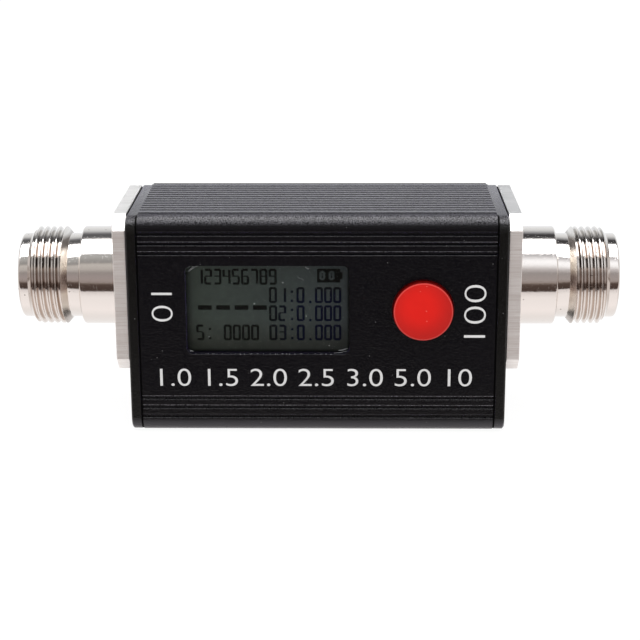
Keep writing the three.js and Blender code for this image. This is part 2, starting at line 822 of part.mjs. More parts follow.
// A small part at the end of a sense line: towards -X or +X, lower or upper
function lineEndPart(end, side, length, width, thick) {
  const near = senseLength / 2 + partEdgeGap;
  const xs = end > 0 ? [near, near + length] : [-near - length, -near];
  const ys = [radioFront - seat - thick, radioFront - seat];
  return block(xs, ys, around(axisHeight + side * sensePlace, width));
}

function shieldCan() {
  const back = radioFront - seat;
  const front = back - canDepth;
  const inner = (span) => [span[0] + canWall, span[1] - canWall];
  const wide = around(0, canLength);
  const high = around(axisHeight, canHeight);
  const can = block(wide, [front, back], high)
    .subtract(block(inner(wide), [front + canWall, back + overrun], inner(high)));
  const slot = lineThick + seat + canSlotMargin;
  const passage = block(around(0, canLength + overrun), [back - slot, back + overrun],
    around(axisHeight, lineWidth + 2 * canSlotMargin));
  return can.subtract(passage);
}

function batteryTape() {
  const wide = around(0, 2 * (cellEnd - tapeEndInset));
  const high = around(cellZ, cellHeight - 2 * tapeEdgeInset);
  return block(wide, [radioBack + seat, radioBack + seat + tapeThick], high);
}

function batteryCell() {
  const middle = (cellFront + cellBack) / 2;
  const outline = roundedRectangle(cellThick, cellHeight, cellCorner, middle, cellZ);
  return alongX(outline, -cellEnd, cellEnd);
}

function guardBoard() {
  const end = -cellEnd - seat;
  const thin = [cellFront + guardSideInset, cellBack - guardSideInset];
  return block([end - guardThick, end], thin, around(cellZ, cellHeight - 2 * guardEdgeInset));
}

// The leads leave the guard board, go round the end of the radio board and
// enter the plug on the back of the main board.
function batteryLead(step) {
  const z = leadZ + step * leadPitch / 2;
  const from = -cellEnd - seat - guardThick - seat;
  const to = plugX - plugLength / 2 - seat;
  const far = -(boardEnd + leadClearance + leadRadius);
  const backY = (cellFront + cellBack) / 2;
  const frontY = mainBack + seat + plugDepth / 2;
  const route = new THREE.CurvePath();
  const corner = (x, y) => new THREE.Vector3(x, y, z);
  const bendX = far + leadBend;
  const line = (a, b) => route.add(new THREE.LineCurve3(a, b));
  const bend = (a, b, c) => route.add(new THREE.QuadraticBezierCurve3(a, b, c));
  line(corner(from, backY), corner(bendX, backY));
  bend(corner(bendX, backY), corner(far, backY), corner(far, backY - leadBend));
  line(corner(far, backY - leadBend), corner(far, frontY + leadBend));
  bend(corner(far, frontY + leadBend), corner(far, frontY), corner(bendX, frontY));
  line(corner(bendX, frontY), corner(to, frontY));
  const section = polygon(Array.from({ length: leadSides }, (_, i) => {
    const angle = 2 * Math.PI * i / leadSides;
    return [leadRadius * Math.cos(angle), leadRadius * Math.sin(angle)];
  }));
  const options = { steps: leadSteps, extrudePath: route, bevelEnabled: false };
  return solidOf(new THREE.ExtrudeGeometry(section, options));
}

function leadPlug() {
  const xs = around(plugX, plugLength);
  return block(xs, [mainBack + seat, mainBack + seat + plugDepth], around(leadZ, plugHeight));
}

function boardHeader() {
  return block(around(headerX, headerLength), [mainBack + seat, radioFront - seat],
    around(headerZ, headerHeight));
}

function onMainBack(x, z, length, width, thick) {
  const ys = [mainBack + seat, mainBack + seat + thick];
  return block(around(x, length), ys, around(z, width));
}

function processor() {
  return onMainBack(processorX, processorZ, processorWidth, processorWidth, processorThick);
}

function chargerChip() {
  return onMainBack(chargerX, chargerZ, chargerLength, chargerWidth, chargerThick);
}

function finish(color, roughness, metalness = 0, opacity = 1) {
  const transparent = opacity < 1;
  return new THREE.MeshStandardMaterial({ color, roughness, metalness, opacity, transparent });
}

const finishes = {
  blackCoat: finish(0x19181a, 0.5, 0.3),
  nickel: finish(0xc9c6c1, 0.22, 1),
  brushedNickel: finish(0xb5b0ad, 0.4, 1),
  contact: finish(0xd9b25e, 0.25, 1),
  insulator: finish(0xf2f0ea, 0.6),
  steel: finish(0xa9a9ab, 0.35, 1),
  blackSteel: finish(0x1c1c1e, 0.4, 0.8),
  redPlastic: finish(0xd62a24, 0.4),
  whitePlastic: finish(0xe9e8e2, 0.6),
  blackPlastic: finish(0x1b1b1d, 0.6),
  glass: finish(0x3b423d, 0.1),
  film: finish(0xe8ecec, 0.1, 0, 0.3),
  board: finish(0x14552d, 0.5),
  copper: finish(0xc27a45, 0.35, 1),
  tinPlate: finish(0xb9bbbd, 0.35, 1),
  foil: finish(0xb8bcc2, 0.4, 0.8),
  foam: finish(0x3a3a3c, 0.95),
  flex: finish(0xb4701f, 0.5),
  redLead: finish(0xc22420, 0.5),
  blackLead: finish(0x161617, 0.5),
};

function part(name, solid, material, parent, y = 0, z = 0) {
  const mesh = new THREE.Mesh(geometryOf(solid), material);
  mesh.name = name;
  mesh.position.set(0, y, z);
  parent.add(mesh);
}

function addEnd(side, turn, parent) {
  const end = new THREE.Group();
  end.rotation.z = turn;
  end.position.x = Math.cos(turn) * halfLength;
  part(`${side}_end_plate`, endPlate(), finishes.blackCoat, end);
  const lowRow = axisHeight - holeY;
  const channelScrew = screw(flangeOuter, -channelScrewReach);
  const nutScrew = screw(flangeOuter, -nutThick - nutScrewReach);
  const plateScrew = screw(plateOuter, -channelScrewReach);
  for (const [place, y] of [['front', -holeY], ['back', holeY]]) {
    part(`${side}_flange_screw_upper_${place}`, channelScrew, finishes.steel, end, y, channelUp);
    part(`${side}_flange_screw_lower_${place}`, nutScrew, finishes.steel, end, y, lowRow);
    part(`${side}_flange_nut_${place}`, flangeNut(), finishes.steel, end, y, lowRow);
    part(`${side}_plate_screw_${place}`, plateScrew, finishes.blackSteel, end, y, channelDown);
  }

  const socket = new THREE.Group();
  socket.position.set(flangeOuter, 0, axisHeight);
  part(`${side}_socket_body`, socketBody(), finishes.nickel, socket);
  part(`${side}_insulator`, socketInsulator(), finishes.insulator, socket);
  part(`${side}_centre_contact`, centreContact(), finishes.contact, socket);
  end.add(socket);
  parent.add(end);
}

const meter = new THREE.Group();
part('case_tube', caseTube(), finishes.blackCoat, meter);
addEnd('left', Math.PI, meter);
addEnd('right', 0, meter);

part('screen_film', screenFilm(), finishes.film, meter);
part('display_glass', displayGlass(), finishes.glass, meter);
part('display_light', displayLight(), finishes.whitePlastic, meter);
part('display_tray', displayTray(), finishes.blackPlastic, meter);
part('display_flex', displayFlex(), finishes.flex, meter);

part('button_cap', buttonCap(), finishes.redPlastic, meter);
part('switch_stem', switchStem(), finishes.whitePlastic, meter);
part('switch_cover', switchCover(), finishes.steel, meter);
part('switch_dome', switchDome(), finishes.steel, meter);
part('switch_body', switchBody(), finishes.blackPlastic, meter);

part('main_board', board(mainFront), finishes.board, meter);
part('processor', processor(), finishes.blackPlastic, meter);
part('charger_chip', chargerChip(), finishes.blackPlastic, meter);
part('charging_shell', chargingShell(), finishes.steel, meter);
part('charging_tongue', chargingTongue(), finishes.blackPlastic, meter);
part('board_header', boardHeader(), finishes.blackPlastic, meter);

part('radio_board', board(radioFront), finishes.board, meter);
part('through_line', throughLine(), finishes.copper, meter);
for (const [place, side] of [['lower', -1], ['upper', 1]]) {
  const diode = lineEndPart(-1, side, diodeLength, diodeWidth, diodeThick);
  const resistor = lineEndPart(1, side, resistorLength, resistorWidth, resistorThick);
  part(`${place}_sense_line`, senseLine(side), finishes.copper, meter);
  part(`${place}_detector_diode`, diode, finishes.blackPlastic, meter);
  part(`${place}_load_resistor`, resistor, finishes.blackPlastic, meter);
}
part('shield_can', shieldCan(), finishes.tinPlate, meter);

part('battery_tape', batteryTape(), finishes.foam, meter);
part('battery_cell', batteryCell(), finishes.foil, meter);
part('battery_guard_board', guardBoard(), finishes.board, meter);
part('battery_lead_red', batteryLead(1), finishes.redLead, meter);
part('battery_lead_black', batteryLead(-1), finishes.blackLead, meter);
part('battery_plug', leadPlug(), finishes.whitePlastic, meter);

export default meter;
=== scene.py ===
# In-line standing wave meter: the finish of its solids, in metres.
# The front panel faces -Y, the sockets point along X, z = 0 is the resting plane.
import math
import random
from functools import partialmethod
import bmesh
import bpy
from mathutils import Matrix, Vector


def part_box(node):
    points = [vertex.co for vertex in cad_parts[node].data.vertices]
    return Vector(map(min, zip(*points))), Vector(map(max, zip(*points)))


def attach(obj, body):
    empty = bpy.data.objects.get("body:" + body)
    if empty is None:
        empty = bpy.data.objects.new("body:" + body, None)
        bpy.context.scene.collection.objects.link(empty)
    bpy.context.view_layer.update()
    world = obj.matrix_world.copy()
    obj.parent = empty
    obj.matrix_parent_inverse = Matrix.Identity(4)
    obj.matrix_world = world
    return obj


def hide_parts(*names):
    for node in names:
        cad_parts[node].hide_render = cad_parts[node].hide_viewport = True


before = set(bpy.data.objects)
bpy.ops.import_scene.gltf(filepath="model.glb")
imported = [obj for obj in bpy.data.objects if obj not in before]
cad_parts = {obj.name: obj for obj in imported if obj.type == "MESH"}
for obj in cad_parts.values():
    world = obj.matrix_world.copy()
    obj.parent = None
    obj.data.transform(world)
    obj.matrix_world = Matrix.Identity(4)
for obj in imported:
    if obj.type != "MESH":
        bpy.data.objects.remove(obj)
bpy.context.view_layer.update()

MM = 0.001
SIDES = (("left", -1), ("right", 1))

# ---- sizes, in mm

AXIS = 22.6                  # height of the sockets' axis
FRONT = -13.4                # the front panel
HALF_CASE, HALF_DEPTH = 28.0, 13.4           # half the tube's length and depth
CASE_LOW, CASE_HIGH, CASE_CORNER = 0.0, 35.5, 2.4
SEAM_WIDE, SEAM_DEEP, SEAM_EDGE = 0.05, 0.45, 0.03     # the step at the tube's ends
SEAM_HIGH = 35.15            # the top of the seams' dark pieces, a painted shade, just below the plates' tops
SHADOW_DEEP, SHADOW_WIDE = 0.12, 1.4         # where that painted shade starts below the surface, and ends
PLATE_BACK = 28.22           # the plates' inner faces, beside the filling
PLATE_LIP = 27.97            # their upper edges, which close the seams on the top
PLATE_GROWN = 0.14           # how far their outer faces are drawn out
PLATE_EDGE = 0.05
PLATE_SHARP = 24             # the angle in degrees from which an edge of theirs is broken
PANEL_INSIDE = 12.0          # inner faces of the walls
FLOOR_INSIDE, CEILING_INSIDE = 1.6, 34.0
GROOVE_MOUTH, GROOVE_FLOOR, GROOVE_DEPTH = 0.62, 0.26, 0.4
LIP_ROUND, FLOOR_ROUND = 0.2, 0.05
PANEL_GROOVES = (2.8, 4.34, 5.88)            # from the top
LOW_GROOVES = (2.8, 4.37, 5.91)              # from the bottom
LOW_MOUTH = 0.56
RIM_GROOVES = tuple(0.8 + 1.6 * i for i in range(6))   # from the middle of the rim
RIM_DEPTH = 0.28
CORNER_GROOVE, CORNER_MOUTH = 10.8, 0.66
BAR_SHORT, BAR_SUNK = 0.02, 0.3              # how far bars end before the tube, and run into walls
RIB_ROWS = ((-6.81, -5.81), (-4.01, -3.01), (0.15, 1.15), (2.95, 3.95))
RIB_HEIGHT = 1.2
CHANNEL_WALL, CHANNEL_BORE = 2.4, 1.6        # the screw channels' radii
CHANNEL_GAP = 28             # half a channel's opening, in degrees
CHANNEL_ROWS = (3.87, 31.73)
PORT_X, PORT_Y, PORT_WIDE, PORT_DEEP, PORT_CORNER = 16.57, -2.43, 9.64, 3.96, 1.95

FLANGE_INNER, FLANGE_FACE = 29.7, 31.8
FLANGE_OUTER = 31.9          # the drawn outer face
FLANGE_GAP = 0.17            # between the flange and its plate
FLANGE_HALF, FLANGE_CUT, FLANGE_EDGE = 12.7, 2.25, 0.1
HOLE_PLACE, HOLE_RADIUS, SINK_RADIUS = 9.13, 1.6, 2.68  # the flange screws' holes, from the axis

# along a socket, from its flange outwards
SHOULDER_RADIUS, SHOULDER_END, SHOULDER_EDGE = 8.0, 6.45, 0.35
NECK_RADIUS = NOSE_RADIUS = 6.86
THREAD_START, THREAD_END, THREAD_PITCH = 8.40, 14.85, 25.4 / 24
THREAD_CREST, THREAD_ROOT, THREAD_CORE = 7.9375, 7.3, 5.9
THREAD_SHIFT = {-1: 0.18, 1: 0.74}           # turn of each helix, in pitches
THREAD_LAND, THREAD_SLOPE = 0.97, 1.175      # the smooth cone before the first groove
THREAD_FALL = 1.15           # how fast the radius falls at the other end
THREAD_ROWS, THREAD_COLUMNS = 230, 161
NOSE_END, NOSE_EDGE = 16.4, 0.45
MOUTH_RADIUS, MOUTH_LEAD, MOUTH_FLOOR = 4.3, 0.35, 7.3
INSULATOR_BORE = 3.5

SCREW_HEAD, SCREW_SHANK, SCREW_LENGTH, SCREW_LAND = 2.6, 1.45, 5.0, 0.12
RECESS_ARM, RECESS_HALF, RECESS_DEPTH = 1.35, 0.24, 0.7

BUTTON_X, BUTTON_Z = 16.57, 20.55
BUTTON_FACE, BUTTON_RADIUS, BUTTON_HOLE = -14.7, 4.72, 4.81

GLASS_FRONT = -11.2
DOT_WIDE, DOT_HIGH, DOT_FILL = 0.1813, 0.1871, 0.97     # pitch of the display's dots
DOTS_LEFT, DOTS_TOP = -19.257, 26.619
WINDOW_LEFT, WINDOW_RIGHT, WINDOW_LOW, WINDOW_HIGH = -20.65, 5.05, 13.175, 27.625
WINDOW_CORNER = 1.1
OPENING_EDGE = 0.03          # broken edge of the window and of the button's hole

# ---- node shorthand


class Value:
    """A node's output, which takes part in sums as a plain number does."""

    def __init__(self, socket):
        self.socket, self.tree = socket, socket.id_data

    def maths(self, operation, *others):
        return maths(self.tree, operation, self, *others)

    def __rsub__(self, other):
        return maths(self.tree, "SUBTRACT", other, self)

    __add__ = __radd__ = partialmethod(maths, "ADD")
    __sub__ = partialmethod(maths, "SUBTRACT")
    __mul__ = __rmul__ = partialmethod(maths, "MULTIPLY")
    __truediv__ = partialmethod(maths, "DIVIDE")
    __abs__ = partialmethod(maths, "ABSOLUTE")

    def ranged(self, low, high, to_low=0.0, to_high=1.0, smooth=False):
        """Goes from to_low to to_high while the value goes from low to high."""
        kind = "SMOOTHSTEP" if smooth else "LINEAR"
        node = add(self.tree, "ShaderNodeMapRange", (self, low, high, to_low, to_high), interpolation_type=kind)
        return Value(node.outputs["Result"])

    def mix(self, first, second):
        """A colour that goes from first to second with the value."""
        return blended(self.tree, self, first, second)


def feed(socket, value):
    """Links an output to the socket, or sets a plain value on it."""
    value = getattr(value, "socket", value)
    if isinstance(value, bpy.types.NodeSocket):
        socket.id_data.links.new(value, socket)
    else:
        socket.default_value = (*value, 1.0) if socket.type == "RGBA" else value


def altered(thing, **settings):
    """The same thing, with its settings changed."""
    for name, setting in settings.items():
        setattr(thing, name, setting)
    return thing


def add(tree, kind, fed=(), **settings):
    """A new node with its settings; fed holds its inputs, in their order or by name."""
    node = altered(tree.nodes.new(kind), **settings)
    for key, value in fed.items() if isinstance(fed, dict) else enumerate(fed):
        feed(node.inputs[key], value)
    return node


def maths(tree, operation, *values):
    return Value(add(tree, "ShaderNodeMath", values, operation=operation).outputs[0])


def blended(tree, factor, first, second):
    return Value(add(tree, "ShaderNodeMix", {0: factor, 6: first, 7: second}, data_type="RGBA").outputs[2])


def layered(base, *layers):
    """A colour with others laid over it, each where its mask is 1."""
    for mask, colour in layers:
        base = mask.mix(base, colour)
    return base


def reach(across, up):
    """The distance from a middle."""
    return (across * across + up * up).maths("SQRT")


def split(vector):
    return [Value(part) for part in add(vector.id_data, "ShaderNodeSeparateXYZ", (vector,)).outputs]


def scaled(vector, size):
    return add(vector.id_data, "ShaderNodeVectorMath", {0: vector, "Scale": size}, operation="SCALE").outputs[0]


def coordinates(tree):
    return add(tree, "ShaderNodeTexCoord").outputs["Object"]


def places(tree):
    """Object coordinates, in mm."""
    return split(scaled(coordinates(tree), 1 / MM))


def noise(tree, scale, detail=2.0, stretch=None):
    """Noise on Object coordinates, drawn out along an axis where stretch says so."""
    place = coordinates(tree)
    if stretch:
        place = add(tree, "ShaderNodeMapping", {"Vector": place, "Scale": stretch}).outputs[0]
    fed = {"Vector": place, "Scale": scale, "Detail": detail}
    return Value(add(tree, "ShaderNodeTexNoise", fed).outputs["Fac"])


def bumped(height, strength, distance):
    fed = {"Strength": strength, "Distance": distance * MM, "Height": height}
    return add(height.tree, "ShaderNodeBump", fed).outputs["Normal"]


def new_tree(name, kind, inputs, outputs):
    """An empty node group, with the sockets of its two end nodes."""
    tree = bpy.data.node_groups.new(name, kind)
    kinds = {"Geometry": "NodeSocketGeometry", "Screw": "NodeSocketObject"}
    for way, labels in (("INPUT", inputs), ("OUTPUT", outputs)):
        for label in labels:
            tree.interface.new_socket(label, in_out=way, socket_type=kinds.get(label, "NodeSocketFloat"))
    return tree, tree.nodes.new("NodeGroupInput").outputs, tree.nodes.new("NodeGroupOutput").inputs


def cleared(thing):
    """The empty node tree of a material or a world."""
    thing.use_nodes = True
    thing.node_tree.nodes.clear()
    return thing.node_tree

# ---- effects shared by materials


def make_grain():
    """Fine grain: a height for bump, and a slow mottle."""
    tree, start, end = new_tree("fine_grain", "ShaderNodeTree", ("Grain", "Mottle"), ("Height", "Mottle"))
    feed(end["Height"], noise(tree, start["Grain"], 2.0))
    feed(end["Mottle"], noise(tree, start["Mottle"], 3.0))
    return tree


def make_specks():
    """Sparse small specks, one for about every cell that is chosen."""
    tree, start, end = new_tree("sparse_specks", "ShaderNodeTree", ("Cells", "Size", "Share"), ("Mask",))
    cells = add(tree, "ShaderNodeTexVoronoi", {"Vector": coordinates(tree), "Scale": start["Cells"]}).outputs
    lot = add(tree, "ShaderNodeSeparateColor", (cells["Color"],)).outputs[0]
    near = maths(tree, "LESS_THAN", cells["Distance"], start["Size"])
    feed(end["Mask"], near * maths(tree, "LESS_THAN", lot, start["Share"]))
    return tree


GRAIN = make_grain()
SPECKS = make_specks()


def grains(tree, grain, mottle):
    """The grain's height and the mottle, each at its scale."""
    return [Value(output) for output in add(tree, "ShaderNodeGroup", (grain, mottle), node_tree=GRAIN).outputs]


def specks(tree, cells, size, share):
    return Value(add(tree, "ShaderNodeGroup", (cells, size, share), node_tree=SPECKS).outputs[0])

# ---- materials

MATERIALS = {}


def finish(name, colour, roughness, metallic=0.0, ior=1.5):
    """A new material: its tree, and a function that feeds its Principled shader."""
    MATERIALS[name] = bpy.data.materials.new(name)
    tree = cleared(MATERIALS[name])
    constants = {"Base Color": colour, "Roughness": roughness, "Metallic": metallic, "IOR": ior}
    surface = add(tree, "ShaderNodeBsdfPrincipled", constants)
    add(tree, "ShaderNodeOutputMaterial", {"Surface": surface.outputs["BSDF"]})

    def paint(**looks):
        for label, value in looks.items():
            feed(surface.inputs[label.replace("_", " ")], value)
    return tree, paint


def lip_lines(x, y, z, lines, deep=0.2):
    """Masks lips of the grooves on the front and the back. lines holds (height, half, share)."""
    total = sum(z.maths("COMPARE", height, half) * share for height, half, share in lines)
    outermost = (abs(y) - HALF_DEPTH).ranged(-deep - 0.1, -deep)
    return total * outermost * abs(x).maths("LESS_THAN", HALF_CASE)


def upper_lip_highlights():
    """The lips above the grooves, with a painted highlight, most of all low on the case."""
    lines = [(CASE_HIGH - inset + GROOVE_MOUTH / 2 - 0.09, 0.11, 0.9) for inset in PANEL_GROOVES[1:]]
    for inset, share in zip(LOW_GROOVES, (0.12, 1.0, 1.0)):
        lines.append((CASE_LOW + inset + LOW_MOUTH / 2 - 0.05, 0.12, share))
    return lines


def lower_lip_highlights():
    """The lips below the grooves, with a fainter painted highlight."""
    lines = [(CASE_HIGH - inset - GROOVE_MOUTH / 2 - 0.05, 0.09, 1.0) for inset in PANEL_GROOVES]
    return lines + [(CASE_LOW + inset - LOW_MOUTH / 2 + 0.04, 0.28, 0.8) for inset in LOW_GROOVES]


def painted_red_reflection(x, y, z):
    """Masks the edge of the button's hole, where the cap's red is painted on as a reflection."""
    edge = reach(x - BUTTON_X, z - BUTTON_Z).ranged(BUTTON_HOLE + 0.08, BUTTON_HOLE + 0.03)
    return edge * y.maths("LESS_THAN", -PANEL_INSIDE)


def coat_finish():
    """Black powder coat: fine pebbled grain and a few bright specks, with painted light: highlights on the groove lips
    and upper corners, a lighter top and bottom, and a red reflection by the button.
    """
    coat = (0.0014, 0.0016, 0.0034)
    tree, paint = finish("black_coat", coat, 0.15, ior=1.35)
    grain, mottle = grains(tree, 4200.0, 500.0)
    lip_speckle = grain.ranged(0.38, 0.62)
    fine = noise(tree, 5200.0, 1.0).ranged(0.35, 0.65)
    x, y, z = places(tree)
    beside, high = abs(x) - HALF_CASE, z - CASE_HIGH
    # Painted highlight on the upper rounded corners: a speckled lighter band, with a darker strip along the top edge.
    corner = (abs(y) - (HALF_DEPTH - CASE_CORNER)).ranged(0.06, 0.5) * high.ranged(-1.5, -0.9) * fine
    shine = layered((0.128, 0.124, 0.140), (high.ranged(-0.6, -0.35), (0.175, 0.170, 0.190)),
                    (high.ranged(-0.2, -0.08), (0.04, 0.038, 0.05)))
    # Painted light on the top face: lighter than the rest of the coat, evenly at the front, and towards the back more
    # in the groove floors than on the bars.
    bars = high.ranged(-0.16, -0.06).mix((0.062, 0.060, 0.074), (0.014, 0.013, 0.021))
    painted_top_light = y.ranged(-3.0, 4.0).mix((0.020, 0.019, 0.029), bars)
    # Painted light: the coat lighter towards the bottom.
    base = layered(coat, (z.ranged(8.5, 3.0), (0.0044, 0.0042, 0.0056)),
                   (beside.ranged(-0.01, 0.01), (0.0040, 0.0042, 0.0040)),
                   # Painted light on the top face.
                   (high.ranged(-0.45, -0.3) * fine, painted_top_light),
                   # Painted highlight on the upper rounded corners.
                   (corner, shine),
                   # Painted light from the floor on the lower rounded edge and the underside.
                   (z.ranged(2.5, 1.4), (0.042, 0.040, 0.049)),
                   # Painted highlight on the lips above the grooves, broken up by the grain.
                   (lip_lines(x, y, z, upper_lip_highlights()) * lip_speckle, (0.30, 0.29, 0.31)),
                   # Fainter painted highlight on the lips below the grooves.
                   (lip_lines(x, y, z, lower_lip_highlights(), 0.42) * lip_speckle, (0.019, 0.018, 0.020)),
                   # Painted reflection of the red cap on the edge of its hole.
                   (painted_red_reflection(x, y, z), (0.16, 0.002, 0.0015)))
    at_seam = specks(tree, 2300.0, 0.2, 0.012) * beside.ranged(-0.3, -0.2)
    worn = specks(tree, 1100.0, 0.09, 0.08).maths("MAXIMUM", at_seam)
    paint(Base_Color=worn.mix(base, (0.12, 0.12, 0.12)), Roughness=mottle.ranged(0.3, 0.7, 0.12, 0.18),
          Normal=bumped(grain * 0.75 + noise(tree, 3400.0, 1.0) * 0.3, 1.0, 0.08),
          Sheen_Weight=0.126, Sheen_Roughness=0.3, Sheen_Tint=(0.45, 0.32, 1.0))


def cone_painted_reflection(up):
    """Painted reflections on the cone behind the thread, by the height over the sockets' axis."""
    return layered((0.50, 0.46, 0.43), (up.ranged(-5.4, -4.2), (0.84, 0.78, 0.71)),
                   (up.ranged(-1.3, -0.5), (0.46, 0.38, 0.345)),
                   (up.ranged(1.6, 3.0), (1.0, 0.93, 0.84)),
                   (up.ranged(5.1, 5.9), (0.22, 0.195, 0.18)),
                   (up.ranged(6.7, 7.3), (0.80, 0.78, 0.76)))


def flank_painted_reflection(up):
    """Painted reflections and painted shade on the flanks of the thread, by the height over the sockets' axis."""
    return layered((0.64, 0.57, 0.52), (up.ranged(-2.0, -0.3), (0.48, 0.41, 0.37)),
                   (up.ranged(3.2, 4.6), (0.26, 0.21, 0.18)),
                   (up.ranged(2.9, 3.2) * up.ranged(4.6, 4.4), (0.12, 0.10, 0.09)),
                   (up.ranged(6.0, 6.9), (0.60, 0.58, 0.56)))


def nickel_finish():
    """Turned and nickel plated brass: nearly a mirror, with faint turning lines and pits, and reflections painted on
    the thread and the cone.
    """
    nickel = (0.80, 0.77, 0.75)
    tree, paint = finish("socket_nickel", nickel, 0.1, metallic=1.0)
    grain, mottle = grains(tree, 2600.0, 260.0)
    turning = noise(tree, 900.0, 1.0, stretch=(6.0, 0.35, 0.35))
    x, y, z = places(tree)
    up = z - AXIS
    radius = reach(y, up)
    along = abs(x) - (FLANGE_FACE + THREAD_START)
    end = THREAD_END - THREAD_START
    thread = along.ranged(0.3, 0.6) * along.ranged(end - 0.2, end - 0.5)
    flank = radius.ranged(THREAD_CREST - 0.06, THREAD_CREST - 0.2)
    flank *= radius.ranged(THREAD_ROOT + 0.04, THREAD_ROOT + 0.2)
    cone = along.ranged(-0.02, 0.02) * along.ranged(THREAD_LAND + 0.04, THREAD_LAND - 0.04)
    cone *= radius.ranged(NECK_RADIUS + 0.02, NECK_RADIUS + 0.06)
    # The thread's flanks and the cone behind it get painted reflections and painted shade.
    colour = layered(nickel, (thread * flank, flank_painted_reflection(up)), (cone, cone_painted_reflection(up)),
                     (specks(tree, 1100.0, 0.16, 0.1), (0.45, 0.42, 0.40)))
    height = specks(tree, 4300.0, 0.3, 0.3) * 0.35 + (grain * 0.6 + turning * 0.4)
    paint(Base_Color=colour, Roughness=cone * 0.2 + mottle.ranged(0.3, 0.7, 0.06, 0.1),
          Normal=bumped(height, 0.3, 0.025))


def brushed_finish():
    """The flange's milled edges: fine lines along the sockets' axis, with painted shade on the top faces, darker on
    the right flange.
    """
    tree, paint = finish("flange_nickel", (0.86, 0.84, 0.82), 0.5, metallic=1.0)
    lines = noise(tree, 5600.0, 2.0, stretch=(0.025, 1.0, 1.0))
    slow = noise(tree, 600.0, 2.0, stretch=(0.2, 1.0, 1.0))
    shade = (lines * 0.8 + slow * 0.2).ranged(0.36, 0.6)
    x, _, z = places(tree)
    # Painted shade: the top faces darker than the other faces, and the right flange's top darker than the left's.
    right = x.maths("GREATER_THAN", 0.0)
    dark = right.mix((0.72, 0.71, 0.705), (0.53, 0.53, 0.535))
    pale = right.mix((0.84, 0.835, 0.83), (0.65, 0.65, 0.66))
    top = (z - (AXIS + FLANGE_HALF)).ranged(-0.2, -0.05)
    paint(Base_Color=top.mix(shade.mix((0.90, 0.875, 0.86), (1.0, 0.995, 0.99)), shade.mix(dark, pale)),
          Roughness=lines.ranged(0.3, 0.7, 0.45, 0.57), Normal=bumped(lines, 0.25, 0.02))


def red_finish():
    """Moulded red plastic, with painted shade towards its edge, most at the lower right, a painted highlight on its
    rim, painted shade on its sides, and dust.
    """
    tree, paint = finish("red_plastic", (0.82, 0.012, 0.008), 0.35, ior=1.22)
    grain, mottle = grains(tree, 1800.0, 220.0)
    x, y, z = places(tree)
    across, up = x - BUTTON_X, z - BUTTON_Z
    middle = reach(across, up)
    # Painted highlight: a pale ring on the rounded rim.
    rim = middle.ranged(4.41, 4.48) * middle.ranged(4.63, 4.58) * 0.4
    # Painted shade: darker towards the edge, most at the lower right.
    painted_edge_shade = reach(across + 0.5, up - 0.9).ranged(1.5, 5.8, smooth=True)
    back = y - BUTTON_FACE
    # Painted shade on the cap's sides, from the rim back to the panel.
    shade = back.ranged(0.3, FRONT + 0.1 - BUTTON_FACE).mix((0.17, 0.002, 0.0012), (0.09, 0.0012, 0.0008))
    side = back.ranged(0.12, 0.2).maths("MAXIMUM", middle.ranged(4.60, 4.66))
    base = mottle.ranged(0.3, 0.7).mix((0.80, 0.014, 0.009), (0.85, 0.016, 0.010))
    base = layered(base, (painted_edge_shade, (0.53, 0.016, 0.013)), (rim, (0.86, 0.17, 0.15)),
                   (specks(tree, 1000.0, 0.11, 0.13), (0.88, 0.12, 0.10)), (side, shade))
    paint(Base_Color=base, Normal=bumped(grain, 0.06, 0.03))


def grained(name, colour, other, roughness, metallic=0.0, scales=(1500.0, 300.0), bump=0.1, ior=1.5):
    """A plain surface that varies softly between two colours."""
    tree, paint = finish(name, colour, roughness, metallic, ior)
    grain, mottle = grains(tree, *scales)
    paint(Base_Color=mottle.ranged(0.3, 0.7).mix(colour, other), Normal=bumped(grain, bump, 0.03),
          Roughness=mottle.ranged(0.3, 0.7, roughness * 0.9, min(1.0, roughness * 1.1)))


def glass_finish():
    """The display: dark grey green on the left, greyer on the right, dust, and a dark border: painted shade of the
    window's walls at the sides, and below partly the display's own border, partly painted shade.
    """
    tree, paint = finish("display_glass", (0.026, 0.03, 0.026), 0.2, ior=1.3)
    x, _, z = places(tree)
    # Painted shade of the window's walls at the left and right edges; the dark band along the bottom is partly the
    # display's own border and partly painted shade.
    lit = x.ranged(-21.2, -19.7) * x.ranged(5.0, 4.6, smooth=True) * z.ranged(12.9, 13.6, smooth=True)
    cloud = grains(tree, 3000.0, 900.0)[1].ranged(0.25, 0.75, 0.82, 1.0)
    field = layered((0.056, 0.070, 0.060), (x.ranged(-19.5, 4.5), (0.046, 0.056, 0.058)),
                    (z.ranged(18.5, 14.4) * 0.65, (0.034, 0.036, 0.029)))
    paint(Base_Color=layered((0.0045, 0.0048, 0.0046), (lit * cloud, field),
                             (specks(tree, 1100.0, 0.12, 0.05), (0.30, 0.31, 0.31))))


def figures_finish():
    """The display's dots: black on the left, bluish in the right hand column."""
    tree, paint = finish("display_figures", (0.004, 0.004, 0.004), 0.3, ior=1.14)
    x, _, z = places(tree)
    mottle = grains(tree, 2000.0, 1500.0)[1]
    dark = mottle.mix((0.0020, 0.0020, 0.0020), (0.0080, 0.0084, 0.0070))
    blue = mottle.mix((0.0012, 0.0014, 0.0075), (0.0022, 0.0030, 0.019))
    paint(Base_Color=(x.ranged(-8.0, -3.0) * z.ranged(24.0, 22.0)).mix(dark, blue))


def film_finish(name, colour, alpha, roughness):
    """Clear protective film."""
    tree, paint = finish(name, colour, roughness)
    grain, mottle = grains(tree, 700.0, 240.0)
    paint(Alpha=mottle.ranged(0.3, 0.7, alpha * 0.6, alpha * 1.4), Normal=bumped(grain, 0.3, 0.1))


